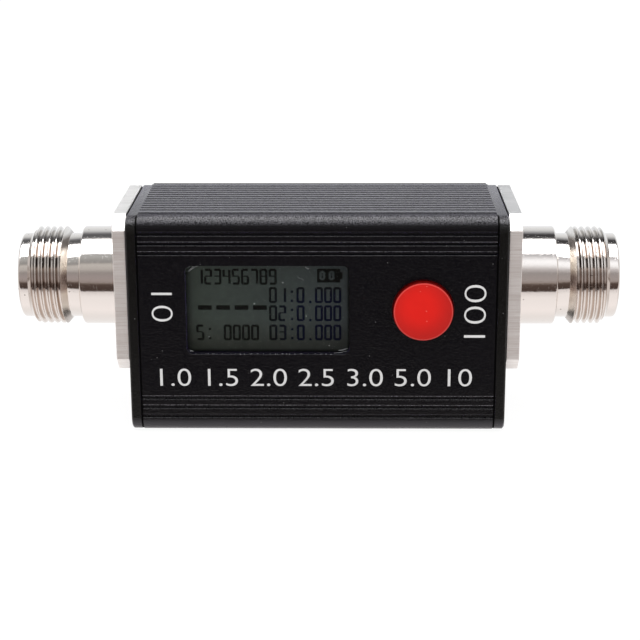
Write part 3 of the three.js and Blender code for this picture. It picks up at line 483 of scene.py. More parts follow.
def make_materials():
    """Every finish; the plain ones are given as name, two colours and a roughness."""
    for make in (coat_finish, nickel_finish, brushed_finish, red_finish, glass_finish, figures_finish):
        make()
    film_finish("clear_film", (0.03, 0.03, 0.03), 0.03, 0.12)
    # The creases' grey film colour is partly a painted highlight.
    film_finish("film_glint", (0.30, 0.31, 0.32), 0.5, 0.25)
    # seam_black: the dark stand-in for the shade in the seams, a painted shade.
    grained("seam_black", (0.0004, 0.0004, 0.0005), (0.0007, 0.0007, 0.0008), 0.7, ior=1.15)
    grained("white_print", (0.74, 0.74, 0.74), (0.82, 0.82, 0.82), 0.5, bump=0.05)
    grained("contact_gold", (0.85, 0.60, 0.24), (0.80, 0.55, 0.22), 0.22, 1.0)
    grained("white_insulator", (0.72, 0.71, 0.68), (0.78, 0.77, 0.74), 0.45)
    grained("screw_steel", (0.62, 0.60, 0.58), (0.52, 0.50, 0.48), 0.28, 1.0)
    grained("screw_black", (0.02, 0.02, 0.021), (0.035, 0.035, 0.037), 0.38)
    grained("white_plastic", (0.70, 0.70, 0.68), (0.75, 0.75, 0.73), 0.4)
    grained("black_plastic", (0.012, 0.012, 0.013), (0.02, 0.02, 0.021), 0.45)
    grained("board_green", (0.012, 0.09, 0.035), (0.018, 0.12, 0.05), 0.35)
    grained("bare_copper", (0.72, 0.36, 0.20), (0.60, 0.28, 0.15), 0.3, 1.0)
    grained("tin_plate", (0.62, 0.62, 0.62), (0.54, 0.54, 0.54), 0.33, 1.0)
    grained("cell_foil", (0.48, 0.49, 0.50), (0.56, 0.57, 0.58), 0.38, 0.85, scales=(1500.0, 900.0))
    grained("foam_tape", (0.55, 0.55, 0.53), (0.65, 0.65, 0.62), 0.9, scales=(5000.0, 300.0), bump=0.5)
    grained("amber_flex", (0.38, 0.13, 0.02), (0.46, 0.17, 0.03), 0.3)
    grained("red_lead", (0.45, 0.015, 0.012), (0.52, 0.02, 0.015), 0.45)
    grained("black_lead", (0.012, 0.012, 0.012), (0.02, 0.02, 0.02), 0.45)

# ---- mesh tools


def new_object(name, data):
    """An object in the scene."""
    item = bpy.data.objects.new(name, data)
    bpy.context.scene.collection.objects.link(item)
    return item


def smoothed(mesh, sharp):
    """Smooth shading up to a sharp angle."""
    mesh.shade_smooth()
    mesh.set_sharp_from_angle(angle=math.radians(sharp))
    return mesh


def mesh_of(name, shape):
    """A mesh from a bmesh, which goes."""
    mesh = bpy.data.meshes.new(name)
    shape.to_mesh(mesh)
    shape.free()
    return mesh


def outward(name, shape):
    """The same, with its normals outwards."""
    bmesh.ops.recalc_face_normals(shape, faces=shape.faces)
    return mesh_of(name, shape)


def new_piece(name, mesh, material, replaced=(), slot=None, body="case"):
    """Shows a mesh as a piece of the meter, with its material; slot is not used."""
    slot = slot or material
    piece = new_object(name, mesh)
    mesh.materials.clear()
    mesh.materials.append(MATERIALS[material])
    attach(piece, body)
    if replaced:
        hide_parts(*replaced)
    return piece


def new_solid(name, shape, material, replaced=(), sharp=30.0, **more):
    """Shows a bmesh as a piece, merged, outward and smooth up to a sharp angle."""
    bmesh.ops.remove_doubles(shape, verts=shape.verts, dist=1e-7)
    new_piece(name, smoothed(outward(name, shape), sharp), material, replaced, **more)


def arc(centre, radius, start, stop, steps):
    """Points of a rounded edge, in the plane of a profile."""
    turns = [math.radians(start + (stop - start) * i / steps) for i in range(steps + 1)]
    return [(centre[0] + radius * math.cos(turn), centre[1] + radius * math.sin(turn)) for turn in turns]


def circle(centre, radius, sides):
    return arc(centre, radius, 0, 360, sides)[:-1]


def band(shape, low, high):
    """Faces between two closed rings of points."""
    for i in range(len(low)):
        j = (i + 1) % len(low)
        shape.faces.new((low[i], low[j], high[j], high[i]))


def walled(shape, rings, closed=False):
    """Faces along a row of rings, with a cap at either end unless the row is closed."""
    for low, high in zip(rings, rings[1:] + rings[:1] if closed else rings[1:]):
        band(shape, low, high)
    if not closed:
        shape.faces.new(rings[0])
        shape.faces.new(rings[-1])


def fill(shape, *loops):
    """Closes the flat face between loops of points."""
    edges = [shape.edges.get((loop[i - 1], loop[i])) for loop in loops for i in range(len(loop))]
    bmesh.ops.triangle_fill(shape, use_beauty=True, use_dissolve=False, edges=edges)


def turned(shape, profile, place, sides=128):
    """Adds a closed turned body. profile holds (radius, distance); place makes a point of them."""
    rings = []
    for radius, distance in profile:
        spots = circle((0.0, 0.0), radius, sides) if radius > 0 else [(0.0, 0.0)]
        rings.append([shape.verts.new(place(across, up, distance)) for across, up in spots])
    for low, high in zip(rings, rings[1:] + rings[:1]):
        if len(low) == 1 and len(high) == 1:
            continue
        for i in range(sides):
            j = (i + 1) % sides
            corners = [low[i % len(low)], low[j % len(low)], high[j % len(high)], high[i % len(high)]]
            shape.faces.new(dict.fromkeys(corners))


def along_axis(side):
    """Puts a turned point on the axis of one socket, its distance taken from the flange's face."""
    def place(across, up, distance):
        return Vector((side * (FLANGE_FACE + distance), across, AXIS + up)) * MM
    return place


def plain_result(holder, name):
    """The evaluated mesh of an object, as a mesh of its own; the object goes."""
    bpy.context.view_layer.update()
    evaluated = holder.evaluated_get(bpy.context.evaluated_depsgraph_get())
    mesh = bpy.data.meshes.new_from_object(evaluated)
    mesh.name = name
    bpy.data.objects.remove(holder)
    return mesh


def grown(name, tree, spots, **values):
    """Runs a geometry tree on points in mm, with its inputs set, and returns the plain mesh it makes."""
    start = bpy.data.meshes.new(name)
    start.from_pydata([Vector(spot) * MM for spot in spots], [], [])
    holder = new_object(name, start)
    modifier = holder.modifiers.new(name, "NODES")
    modifier.node_group = tree
    for item in tree.interface.items_tree:
        if item.name in values:
            modifier[item.identifier] = values[item.name]
    return plain_result(holder, name)


def finished(tree, end, geometry, material):
    """Ends a geometry tree: instances made real, and a material set."""
    real = add(tree, "GeometryNodeRealizeInstances", (geometry,)).outputs[0]
    coated = add(tree, "GeometryNodeSetMaterial", {"Geometry": real, "Material": MATERIALS[material]})
    feed(end[0], coated.outputs[0])


def on_points(tree, start, end, instance, material, **more):
    """Ends a geometry tree with an instance on each point that comes in."""
    points = add(tree, "GeometryNodeMeshToPoints", (start["Geometry"],)).outputs[0]
    placed = add(tree, "GeometryNodeInstanceOnPoints", {"Points": points, "Instance": instance, **more})
    finished(tree, end, placed.outputs[0], material)


def cut_out(name, holder, cutters):
    """The mesh of holder without the cutters; all of them go."""
    for item in cutters:
        altered(holder.modifiers.new(item.name, "BOOLEAN"), operation="DIFFERENCE", solver="EXACT", object=item)
    mesh = plain_result(holder, name)
    for item in cutters:
        bpy.data.objects.remove(item)
    return mesh


def cutter(name, rings):
    """A closed cutter through rings of points."""
    shape = bmesh.new()
    walled(shape, [[shape.verts.new(Vector(point) * MM) for point in ring] for ring in rings])
    return new_object(name, outward(name, shape))


def ring_at(shape, outline, x):
    return [shape.verts.new(Vector((x, across, up)) * MM) for across, up in outline]


def prism(shape, outline, x0, x1):
    """A closed bar along X."""
    walled(shape, [ring_at(shape, outline, x0), ring_at(shape, outline, x1)])


def framed(shape, outer, inner, x0, x1):
    """A closed frame along X between two outlines."""
    ends = ((outer, x0), (outer, x1), (inner, x1), (inner, x0))
    walled(shape, [ring_at(shape, outline, x) for outline, x in ends], closed=True)


def round_box(half_wide, half_high, radius, grow=0.0, steps=8):
    """A rounded rectangle about the origin, grown by some amount."""
    outline = []
    for sign_x, sign_z, angle in ((1, 1, 0), (-1, 1, 90), (-1, -1, 180), (1, -1, 270)):
        middle = (sign_x * (half_wide - radius), sign_z * (half_high - radius))
        outline += arc(middle, radius + grow, angle, angle + 90, steps)
    return outline

# ---- case tube and end plates


def filleted(points, steps=3):
    """A closed outline of (across, up, radius) with each corner rounded to its radius."""
    outline = []
    count = len(points)
    for i, (across, up, radius) in enumerate(points):
        here = Vector((across, up))
        if radius <= 0:
            outline.append((across, up))
            continue
        before = Vector(points[i - 1][:2]) - here
        after = Vector(points[(i + 1) % count][:2]) - here
        half = before.angle(after) / 2
        run = min(radius / math.tan(half), 0.45 * before.length, 0.45 * after.length)
        before, after = before.normalized(), after.normalized()
        middle = here + (before + after).normalized() * run / math.cos(half)
        first = here + before * run - middle
        turn = first.angle_signed(here + after * run - middle)
        for step in range(steps + 1):
            spoke = first.copy()
            spoke.rotate(Matrix.Rotation(-turn * step / steps, 2))
            outline.append(tuple(middle + spoke))
    return outline


def corner_drop(distance, length):
    """How far the case's rounded corner lies below its flat side."""
    near = CASE_CORNER - min(distance, length - distance)
    return CASE_CORNER - math.sqrt(CASE_CORNER ** 2 - near ** 2) if near > 0 else 0.0


def tube_side(start, way, grooves, length):
    """One side of the tube's outline. grooves holds each one's distance, mouth and depth."""
    points = []
    for distance, mouth, deep in sorted(grooves):
        for offset, depth, radius in ((-mouth / 2, None, LIP_ROUND), (-GROOVE_FLOOR / 2, deep, FLOOR_ROUND),
                                      (GROOVE_FLOOR / 2, deep, FLOOR_ROUND), (mouth / 2, None, LIP_ROUND)):
            spot = distance + offset
            place = start + way * complex(spot, corner_drop(spot, length) if depth is None else depth)
            points.append((place.real, place.imag, radius))
    return points


def tube_outline():
    """The tube's outer outline, walked round from the lower front corner."""
    high, wide, steps = CASE_HIGH - CASE_LOW, 2 * HALF_DEPTH, 12
    rim = [(HALF_DEPTH + sign * y, GROOVE_MOUTH, RIM_DEPTH) for y in RIM_GROOVES for sign in (-1, 1)]
    rim += [(HALF_DEPTH + sign * CORNER_GROOVE, CORNER_MOUTH, GROOVE_DEPTH) for sign in (-1, 1)]
    low = [(inset, LOW_MOUTH, GROOVE_DEPTH) for inset in LOW_GROOVES]
    upper = [(inset, GROOVE_MOUTH, GROOVE_DEPTH) for inset in PANEL_GROOVES]
    rising = low + [(high - inset, mouth, deep) for inset, mouth, deep in upper]
    falling = upper + [(high - inset, mouth, deep) for inset, mouth, deep in low]
    points, start, way = [], complex(-HALF_DEPTH, CASE_LOW), 1
    for turns, (grooves, length) in enumerate(((rim, wide), (rising, high), (rim, wide), (falling, high))):
        points += tube_side(start, way, grooves, length)
        start += way * length
        middle = start + way * complex(-CASE_CORNER, CASE_CORNER)
        first, last = (3, steps) if turns % 2 == 0 else (1, steps - 2)
        corner = arc((middle.real, middle.imag), CASE_CORNER, 90 * turns - 90, 90 * turns, steps)
        points += [(across, up, 0) for across, up in corner[first:last]]
        way *= 1j
    return filleted(points)


def drawn_in(outline, depth):
    """The outline's points moved onto a smaller rounded box without grooves."""
    middle = Vector((0.0, (CASE_LOW + CASE_HIGH) / 2))
    core = Vector((HALF_DEPTH - CASE_CORNER, (CASE_HIGH - CASE_LOW) / 2 - CASE_CORNER))
    result = []
    for point in outline:
        here = Vector(point) - middle
        held = Vector((max(-core.x, min(core.x, here.x)), max(-core.y, min(core.y, here.y))))
        result.append(tuple(middle + held + (here - held).normalized() * (CASE_CORNER - depth)))
    return result


def tube_shell():
    """The tube itself, with a narrow step at each end."""
    shape = bmesh.new()
    outer = tube_outline()
    drawn = drawn_in(outer, SEAM_DEEP)
    near = HALF_CASE - SEAM_WIDE
    edge = near - SEAM_EDGE
    rings = [ring_at(shape, outline, x) for outline, x in (
        (drawn, -HALF_CASE), (drawn, -near), (outer, -edge), (outer, edge), (drawn, near), (drawn, HALF_CASE))]
    for low, high in zip(rings, rings[1:]):
        band(shape, low, high)
    inner = [(-PANEL_INSIDE, FLOOR_INSIDE), (PANEL_INSIDE, FLOOR_INSIDE),
             (PANEL_INSIDE, CEILING_INSIDE), (-PANEL_INSIDE, CEILING_INSIDE)]
    bores = [ring_at(shape, inner, -HALF_CASE), ring_at(shape, inner, HALF_CASE)]
    band(shape, bores[1], bores[0])
    fill(shape, rings[0], bores[0])
    fill(shape, rings[-1], bores[1])
    return outward("tube_shell", shape)


def make_plates():
    """The coated end plates: merged copies with broken edges, a little thinner to show the seam."""
    for word, side in SIDES:
        node, name = f"{word}_end_plate", f"{word}_plate_coated"
        shape = bmesh.new()
        shape.from_mesh(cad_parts[node].data)
        bmesh.ops.remove_doubles(shape, verts=shape.verts, dist=1e-6)
        bmesh.ops.dissolve_limit(shape, angle_limit=math.radians(0.4), verts=shape.verts, edges=shape.edges)
        plate = new_piece(name, smoothed(mesh_of(name, shape), PLATE_SHARP), "black_coat", (node,))
        altered(plate.modifiers.new("broken_edges", "BEVEL"), width=PLATE_EDGE * MM, segments=2, limit_method="ANGLE",
                angle_limit=math.radians(PLATE_SHARP), harden_normals=True, use_clamp_overlap=True)
        top = max(vertex.co.z for vertex in plate.data.vertices) - 0.05 * MM
        for vertex in plate.data.vertices:
            if side * vertex.co.x < (PLATE_BACK + 0.05) * MM:
                vertex.co.x = side * (PLATE_LIP if vertex.co.z > top else PLATE_BACK) * MM
            elif side * vertex.co.x > (FLANGE_INNER - 0.4) * MM:
                vertex.co.x += side * PLATE_GROWN * MM


def make_seams():
    """Dark pieces in the seams beside the end plates, standing in for their shade: painted shade."""
    shape = bmesh.new()
    middle = (CASE_LOW + CASE_HIGH) / 2

    def tube_ring(depth):
        box = round_box(HALF_DEPTH - depth, CASE_HIGH - middle - depth, CASE_CORNER - depth)
        return [(across, min(middle + up, SEAM_HIGH)) for across, up in box]

    for _, side in SIDES:
        framed(shape, tube_ring(SHADOW_DEEP), tube_ring(SHADOW_WIDE),
               side * (HALF_CASE - SEAM_WIDE), side * PLATE_BACK)
        framed(shape, flange_outline(2 * SHADOW_DEEP), flange_outline(SHADOW_WIDE),
               side * FLANGE_INNER, side * (FLANGE_INNER + FLANGE_GAP))
    new_solid("seam_shadows", shape, "seam_black", slot="black_coat")


def opening_cutters():
    """The window, the button's hole and the charging socket's mouth."""
    middle_x, middle_z = (WINDOW_LEFT + WINDOW_RIGHT) / 2, (WINDOW_LOW + WINDOW_HIGH) / 2
    half_wide, half_high = (WINDOW_RIGHT - WINDOW_LEFT) / 2, (WINDOW_HIGH - WINDOW_LOW) / 2
    levels = ((FRONT - 0.1, OPENING_EDGE + 0.1), (FRONT + OPENING_EDGE, 0.0), (FRONT + 1.9, 0.0))
    window = [[(middle_x + x, y, middle_z + z) for x, z in round_box(half_wide, half_high, WINDOW_CORNER, grow)]
              for y, grow in levels]
    hole = [[(x, y, z) for x, z in circle((BUTTON_X, BUTTON_Z), BUTTON_HOLE + grow, 96)] for y, grow in levels]
    levels = ((CASE_LOW - 0.2, OPENING_EDGE + 0.2), (CASE_LOW + OPENING_EDGE, 0.0), (FLOOR_INSIDE + 0.4, 0.0))
    port = [[(PORT_X + x, PORT_Y + y, z) for x, y in round_box(PORT_WIDE / 2, PORT_DEEP / 2, PORT_CORNER, grow)]
            for z, grow in levels]
    return [cutter("cut_window", window), cutter("cut_hole", hole), cutter("cut_port", port)]


def inner_bars(shape):
    """The card slots' ribs and the open screw channels inside the tube."""
    end = HALF_CASE - BAR_SHORT
    heights = ((FLOOR_INSIDE - BAR_SUNK, FLOOR_INSIDE + RIB_HEIGHT),
               (CEILING_INSIDE - RIB_HEIGHT, CEILING_INSIDE + BAR_SUNK))
    for low, high in RIB_ROWS:
        for z0, z1 in heights:
            spans = [(-end, end)]
            if z0 < FLOOR_INSIDE and abs((low + high) / 2 - PORT_Y) < PORT_DEEP / 2:
                spans = [(-end, PORT_X - PORT_WIDE / 2), (PORT_X + PORT_WIDE / 2, end)]
            for x0, x1 in spans:
                prism(shape, [(low, z0), (high, z0), (high, z1), (low, z1)], x0, x1)
    for y in (-HOLE_PLACE, HOLE_PLACE):
        for z in CHANNEL_ROWS:
            inward = math.degrees(math.atan2(CASE_HIGH / 2 - z, -y))
            wall, bore = (arc((y, z), radius, inward + CHANNEL_GAP, inward + 360 - CHANNEL_GAP, 32)
                          for radius in (CHANNEL_WALL, CHANNEL_BORE))
            prism(shape, wall + bore[::-1], -end, end)


def make_tube():
    """The extruded tube: grooved outside, slotted inside, with its three openings."""
    shape, bars = bmesh.new(), bmesh.new()
    shape.from_mesh(cut_out("tube_cut", new_object("tube_shell", tube_shell()), opening_cutters()))
    inner_bars(bars)
    shape.from_mesh(outward("tube_bars", bars))
    name = "case_tube_coated"
    piece = new_piece(name, smoothed(mesh_of(name, shape), 32), "black_coat", ("case_tube",))
    altered(piece.modifiers.new("flat_faces_flat", "WEIGHTED_NORMAL"), mode="FACE_AREA", weight=100, keep_sharp=True)

# ---- sockets


def thread_tree():
    """A right hand thread ring, drawn on a grid whose rows go along and columns around."""
    tree, start, end = new_tree("socket_thread", "GeometryNodeTree", ("Geometry", "Side", "Shift"), ("Geometry",))
    grid = add(tree, "GeometryNodeMeshGrid", {"Vertices X": THREAD_ROWS, "Vertices Y": THREAD_COLUMNS})
    row, column, _ = split(add(tree, "GeometryNodeInputPosition").outputs[0])
    along, turn = row + 0.5, (column + 0.5) * (2 * math.pi)

    # the last row comes back under the first, so that the ring closes
    step = 1 / (THREAD_ROWS - 1)
    share = along.ranged(step, 1 - 2 * step) * (1.0 - along.maths("GREATER_THAN", 1 - 0.5 * step))
    under = along.maths("LESS_THAN", 0.5 * step).maths("MAXIMUM", along.maths("GREATER_THAN", 1 - 1.5 * step))
    distance = share * (THREAD_END - THREAD_START)

    # distance from the crest, along the axis
    x = (distance + (FLANGE_FACE + THREAD_START)) * start["Side"]
    phase = (x / THREAD_PITCH + (turn / (2 * math.pi) + start["Shift"])).maths("FRACT")
    off = abs(phase - 0.5)
    ridge = off.ranged(0.07, 0.44, THREAD_CREST, THREAD_ROOT)
    ridge = distance.ranged(THREAD_LAND, THREAD_LAND + 0.1) * (ridge - THREAD_CREST) + THREAD_CREST
    inner = distance * THREAD_SLOPE + (NECK_RADIUS - 0.06)
    outer = ((THREAD_END - THREAD_START) - distance) * THREAD_FALL + (NOSE_RADIUS - 0.06)
    radius = ridge.maths("MINIMUM", inner.maths("MINIMUM", outer))
    radius = under * (THREAD_CORE - radius) + radius

    spot = (x, radius * turn.maths("COSINE") * -1.0, radius * turn.maths("SINE") + AXIS)
    place = scaled(add(tree, "ShaderNodeCombineXYZ", spot).outputs[0], MM)
    moved = add(tree, "GeometryNodeSetPosition", {"Geometry": grid.outputs["Mesh"], "Position": place}).outputs[0]
    merged = add(tree, "GeometryNodeMergeByDistance", {"Geometry": moved, "Distance": 2e-6})
    finished(tree, end, merged.outputs[0], "socket_nickel")
    return tree


def socket_core(shape, side):
    """The turned shell: shoulder, neck, nose and mouth."""
    edge, lead, foot = SHOULDER_EDGE, MOUTH_LEAD, FLANGE_INNER - FLANGE_FACE + 0.5
    profile = [(INSULATOR_BORE, foot), (SHOULDER_RADIUS, foot)]
    profile += arc((SHOULDER_RADIUS - edge, SHOULDER_END - edge), edge, 0, 90, 5)
    profile += [(NECK_RADIUS, SHOULDER_END), (NECK_RADIUS, THREAD_START + 0.4)]
    profile += [(NOSE_RADIUS - 0.05, THREAD_START + 0.5), (NOSE_RADIUS, THREAD_END - 0.5)]
    profile += arc((NOSE_RADIUS - NOSE_EDGE, NOSE_END - NOSE_EDGE), NOSE_EDGE, 0, 90, 6)
    profile += [(MOUTH_RADIUS + lead + 0.05, NOSE_END)]
    profile += arc((MOUTH_RADIUS + lead, NOSE_END - lead), lead, 90, 180, 5)
    profile += [(MOUTH_RADIUS, MOUTH_FLOOR), (INSULATOR_BORE, MOUTH_FLOOR)]
    turned(shape, profile, along_axis(side))


def flange_outline(inset):
    """The square with cut corners, on the sockets' axis."""
    half = FLANGE_HALF - inset
    cut = half - FLANGE_CUT + inset * 0.6
    corners = [(cut, -half), (half, -cut), (half, cut), (cut, half),
               (-cut, half), (-half, cut), (-half, -cut), (-cut, -half)]
    return [(across, AXIS + up) for across, up in corners]


def flange_plate(shape, side):
    """The square flange with its cut corners and four countersunk holes."""
    back = FLANGE_INNER + FLANGE_GAP
    rings = [ring_at(shape, flange_outline(inset), side * x) for inset, x in (
        (FLANGE_EDGE / 2, back), (0, back + FLANGE_EDGE / 2), (0, FLANGE_OUTER - FLANGE_EDGE),
        (FLANGE_EDGE, FLANGE_OUTER))]
    rows = [rings]
    levels = ((HOLE_RADIUS, back), (HOLE_RADIUS, FLANGE_OUTER - SINK_RADIUS + HOLE_RADIUS),
              (SINK_RADIUS, FLANGE_OUTER))
    for y in (-HOLE_PLACE, HOLE_PLACE):
        for z in (-HOLE_PLACE, HOLE_PLACE):
            rows.append([ring_at(shape, circle((y, AXIS + z), radius, 48), side * x) for radius, x in levels])
    for row in rows:
        for low, high in zip(row, row[1:]):
            band(shape, low, high)
    fill(shape, *(row[0] for row in rows))
    fill(shape, *(row[-1] for row in rows))


def make_socket(word, side, tree):
    """One socket: turned shell, flange and thread ring."""
    shell, flange, thread = bmesh.new(), bmesh.new(), bmesh.new()
    socket_core(shell, side)
    flange_plate(flange, side)
    thread.from_mesh(grown(f"{word}_thread_drawn", tree, (), Side=float(side), Shift=THREAD_SHIFT[side]))
    for part, shape, material, sharp in (("shell", shell, "socket_nickel", 30.0),
                                         ("flange", flange, "flange_nickel", 30.0),
                                         ("thread", thread, "socket_nickel", 75.0)):
        new_solid(f"{word}_socket_{part}", shape, material, (f"{word}_socket_body",), sharp, slot="socket_nickel")


def make_insulator(word, side):
    """The insulator, with a shallow ring turned in its face."""
    face = MOUTH_FLOOR - 0.1
    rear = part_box(f"{word}_insulator")
    inner = min(abs(rear[0][0]), abs(rear[1][0])) / MM - FLANGE_FACE
    bore, wide, narrow, step, edge, floor = 1.57, 4.35, 3.45, inner + 2.95, 0.15, face - 0.2
    profile = [(bore, inner), (wide, inner), (wide, step), (narrow, step)]
    profile += arc((narrow - edge, face - edge), edge, 0, 90, 3)
    profile += [(2.9, face), (2.8, floor), (2.3, floor), (2.2, face), (bore, face)]
    shape = bmesh.new()
    turned(shape, profile, along_axis(side), 64)
    new_solid(f"{word}_socket_insulator", shape, "white_insulator", (f"{word}_insulator",))

# ---- screws


def screw_head():
    """One countersunk head with a cross recess, its face at x = 0 and its shank along -x."""
    shape = bmesh.new()
    cone = SCREW_HEAD - SCREW_SHANK
    profile = [(0, -SCREW_LENGTH), (SCREW_SHANK, -SCREW_LENGTH), (SCREW_SHANK, -SCREW_LAND - cone),
               (SCREW_HEAD, -SCREW_LAND), (SCREW_HEAD, -0.04), (SCREW_HEAD - 0.04, 0.0), (0, 0.0)]
    turned(shape, profile, lambda across, up, distance: Vector((distance, across, up)) * MM, 48)
    a, h = RECESS_ARM, RECESS_HALF
    outline = [(a, -h), (a, h), (h, h), (h, a), (-h, a), (-h, h),
               (-a, h), (-a, -h), (-h, -h), (-h, -a), (h, -a), (h, -h)]
    recess = cutter("screw_recess", [[(x, y * scale, z * scale) for y, z in outline]
                                     for x, scale in ((0.5, 1.0), (-RECESS_DEPTH, 0.72))])
    return smoothed(cut_out("screw_with_recess", new_object("screw_head", outward("screw_head", shape)), [recess]), 30)


def screw_tree(material):
    """One screw on each point, turned to face along its own way and slanted at random."""
    tree, start, end = new_tree("countersunk_screws", "GeometryNodeTree", ("Geometry", "Screw", "Turn"), ("Geometry",))
    info = add(tree, "GeometryNodeObjectInfo", {"Object": start["Screw"], "As Instance": True})
    slant = add(tree, "FunctionNodeRandomValue", {2: -0.7, 3: 0.7, "Seed": 5}, data_type="FLOAT")
    turn = add(tree, "ShaderNodeCombineXYZ", {0: slant.outputs[1], 2: start["Turn"]})
    on_points(tree, start, end, info.outputs["Geometry"], material, Rotation=turn.outputs[0])
    return tree


def screw_set(name, tree, head, spots, turn, material, nodes):
    new_piece(name, grown(name, tree, spots, Screw=head, Turn=turn), material, nodes)


def make_screws():
    """The flanges' steel screws and the plates' black ones."""
    head = new_object("screw_to_repeat", screw_head())
    steel, black = screw_tree("screw_steel"), screw_tree("screw_black")
    ends = ((-HOLE_PLACE, "front"), (HOLE_PLACE, "back"))
    for word, side in SIDES:
        turn = 0.0 if side > 0 else math.pi
        face = (FLANGE_OUTER - 0.06) * side
        spots = [(face, y, AXIS + z) for z in (HOLE_PLACE, -HOLE_PLACE) for y, _ in ends]
        nodes = [f"{word}_flange_screw_{row}_{end}" for row in ("upper", "lower") for _, end in ends]
        screw_set(f"{word}_flange_screws", steel, head, spots, turn, "screw_steel", nodes)
        nodes = [f"{word}_plate_screw_{end}" for _, end in ends]
        low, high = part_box(nodes[0])
        face = (high[0] if side > 0 else low[0]) / MM + side * PLATE_GROWN
        spots = [(face, y, CHANNEL_ROWS[0]) for y, _ in ends]
        screw_set(f"{word}_plate_screws", black, head, spots, turn, "screw_black", nodes)
    bpy.data.objects.remove(head)

# ---- button


def make_button():
    """The red cap: a flat disc with a low rounded rim, hollow behind."""
    radius, face = BUTTON_RADIUS, BUTTON_FACE
    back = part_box("button_cap")[1][1] / MM

    def place(across, up, distance):
        return Vector((BUTTON_X + across, distance, BUTTON_Z + up)) * MM

    profile = [(0, face + 0.06), (3.9, face + 0.06), (4.1, face + 0.05), (4.24, face + 0.015), (4.36, face)]
    edge, inside, boss, roof, foot = 0.3, radius - 1.0, 3.25, face + 1.65, face + 1.6
    profile += arc((radius - edge, face + edge), edge, -85, 0, 6)
    profile += [(radius, back - 0.1), (radius - 0.1, back), (inside, back)]
    profile += [(inside, roof), (boss, roof), (boss, foot), (0, foot)]
    shape = bmesh.new()
    turned(shape, profile, place)
    new_solid("button_cap_turned", shape, "red_plastic", ("button_cap",), 40.0, body="button")

# ---- display

# strokes of a figure: a top, b upper right, c lower right, d foot, e lower left,
# f upper left, g middle
STROKES = {"0": "abcdef", "1": "bc", "2": "abged", "3": "abgcd", "4": "fgbc", "5": "afgcd",
           "6": "afgedc", "7": "abc", "8": "abcdefg", "9": "abcdfg", " ": ""}


def block_of(columns, rows):
    return {(x, y) for x in columns for y in rows}


def figure_dots(sign, column, row, wide=7, high=14):
    """The dots of one figure, whose cell starts at that column and row."""
    middle = high // 2
    dots = set()
    if sign == ".":
        dots = block_of((3, 4), (high - 2, high - 1))
    elif sign == ":":
        dots = block_of((3, 4), (3, 4, high - 3, high - 2))
    bars = {"a": (0, 1), "g": (middle - 1,), "d": (high - 2, high - 1)}
    for stroke in STROKES.get(sign, ""):
        if stroke in bars:
            dots |= block_of(range(1, wide - 1), bars[stroke])
        else:
            x = 0 if stroke in "ef" else wide - 2
            span = range(1, middle) if stroke in "bf" else range(middle, high - 1)
            dots |= block_of((x, x + 1), span)
    return {(column + x, row + y) for x, y in dots}


def display_dots():
    """Every dark dot of the display, as (column, row) from its upper left corner."""
    dots = set()
    rows = ((0, 0, "123456789"), (64, 16, "01:0.000"), (64, 32, "02:0.000"),
            (64, 49, "03:0.000"), (0, 49, "5: 0000"))
    for column, row, words in rows:
        for i, sign in enumerate(words):
            dots |= figure_dots(sign, column + 8 * i, row)
    for i in range(4):
        dots |= block_of(range(2 + 16 * i, 14 + 16 * i), range(32, 36))
    battery = block_of(range(106, 126), range(12)) | block_of((126, 127), range(3, 9))
    for column in (108, 116):
        battery -= figure_dots("8", column, 2, wide=5, high=8)
    return dots | battery


def make_dots():
    """The display's figures: a small flat tile on each dot."""
    tree, start, end = new_tree("display_dots", "GeometryNodeTree", ("Geometry",), ("Geometry",))
    size = (DOT_WIDE * DOT_FILL * MM, 0.01 * MM, DOT_HIGH * DOT_FILL * MM)
    tile = add(tree, "GeometryNodeMeshCube", {"Size": size})
    on_points(tree, start, end, tile.outputs["Mesh"], "display_figures")
    spots = [(DOTS_LEFT + (x + 0.5) * DOT_WIDE, GLASS_FRONT - 0.012, DOTS_TOP - (y + 0.5) * DOT_HIGH)
             for x, y in sorted(display_dots())]
    new_piece("display_dots", grown("display_dots", tree, spots), "display_figures")


def ribbon(shape, points, width, thick, y):
    """A thin ridge that follows points of (x, z, rise towards the front)."""
    count = len(points)
    rings = []
    for i, (x, z, rise) in enumerate(points):
        before, after = points[max(0, i - 1)], points[min(count - 1, i + 1)]
        way = Vector((after[0] - before[0], 0, after[1] - before[1])).normalized()
        side = Vector((-way.z, 0, way.x))
        half = width / 2 * (0.35 + 0.65 * math.sin(math.pi * (i + 0.5) / count))
        middle = Vector((x, y - rise, z))
        ring = (middle + side * half, middle + Vector((0, -thick, 0)), middle - side * half,
                middle + Vector((0, 0.01, 0)))
        rings.append([shape.verts.new(spot * MM) for spot in ring])
    walled(shape, rings)


def make_film():
    """The clear film over the display, a little uneven."""
    low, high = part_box("screen_film")
    (x0, y0, z0), (x1, y1, z1) = ([value / MM for value in corner] for corner in (low, high))
    shape = bmesh.new()
    columns, rows = 40, 24

    def corner(i, j, y):
        u, v = i / columns, j / rows
        swell = 0.012 * math.sin(9.0 * u + 2.0 * v) * math.sin(math.pi * u) * math.sin(math.pi * v)
        lift = min(max(y + swell + 0.012, y0), y1 + 0.02)
        return shape.verts.new(Vector((x0 + (x1 - x0) * u, lift, z0 + (z1 - z0) * v)) * MM)

    sheets = [[[corner(i, j, y) for j in range(rows + 1)] for i in range(columns + 1)] for y in (y0, y1)]
    for sheet in sheets:
        for i in range(columns):
            for j in range(rows):
                shape.faces.new((sheet[i][j], sheet[i + 1][j], sheet[i + 1][j + 1], sheet[i][j + 1]))
    rim = [(i, 0) for i in range(columns)] + [(columns, j) for j in range(rows)]
    rim += [(i, rows) for i in range(columns, 0, -1)] + [(0, j) for j in range(rows, 0, -1)]
    band(shape, *([sheet[i][j] for i, j in rim] for sheet in sheets))
    new_solid("screen_film_sheet", shape, "clear_film", ("screen_film",))


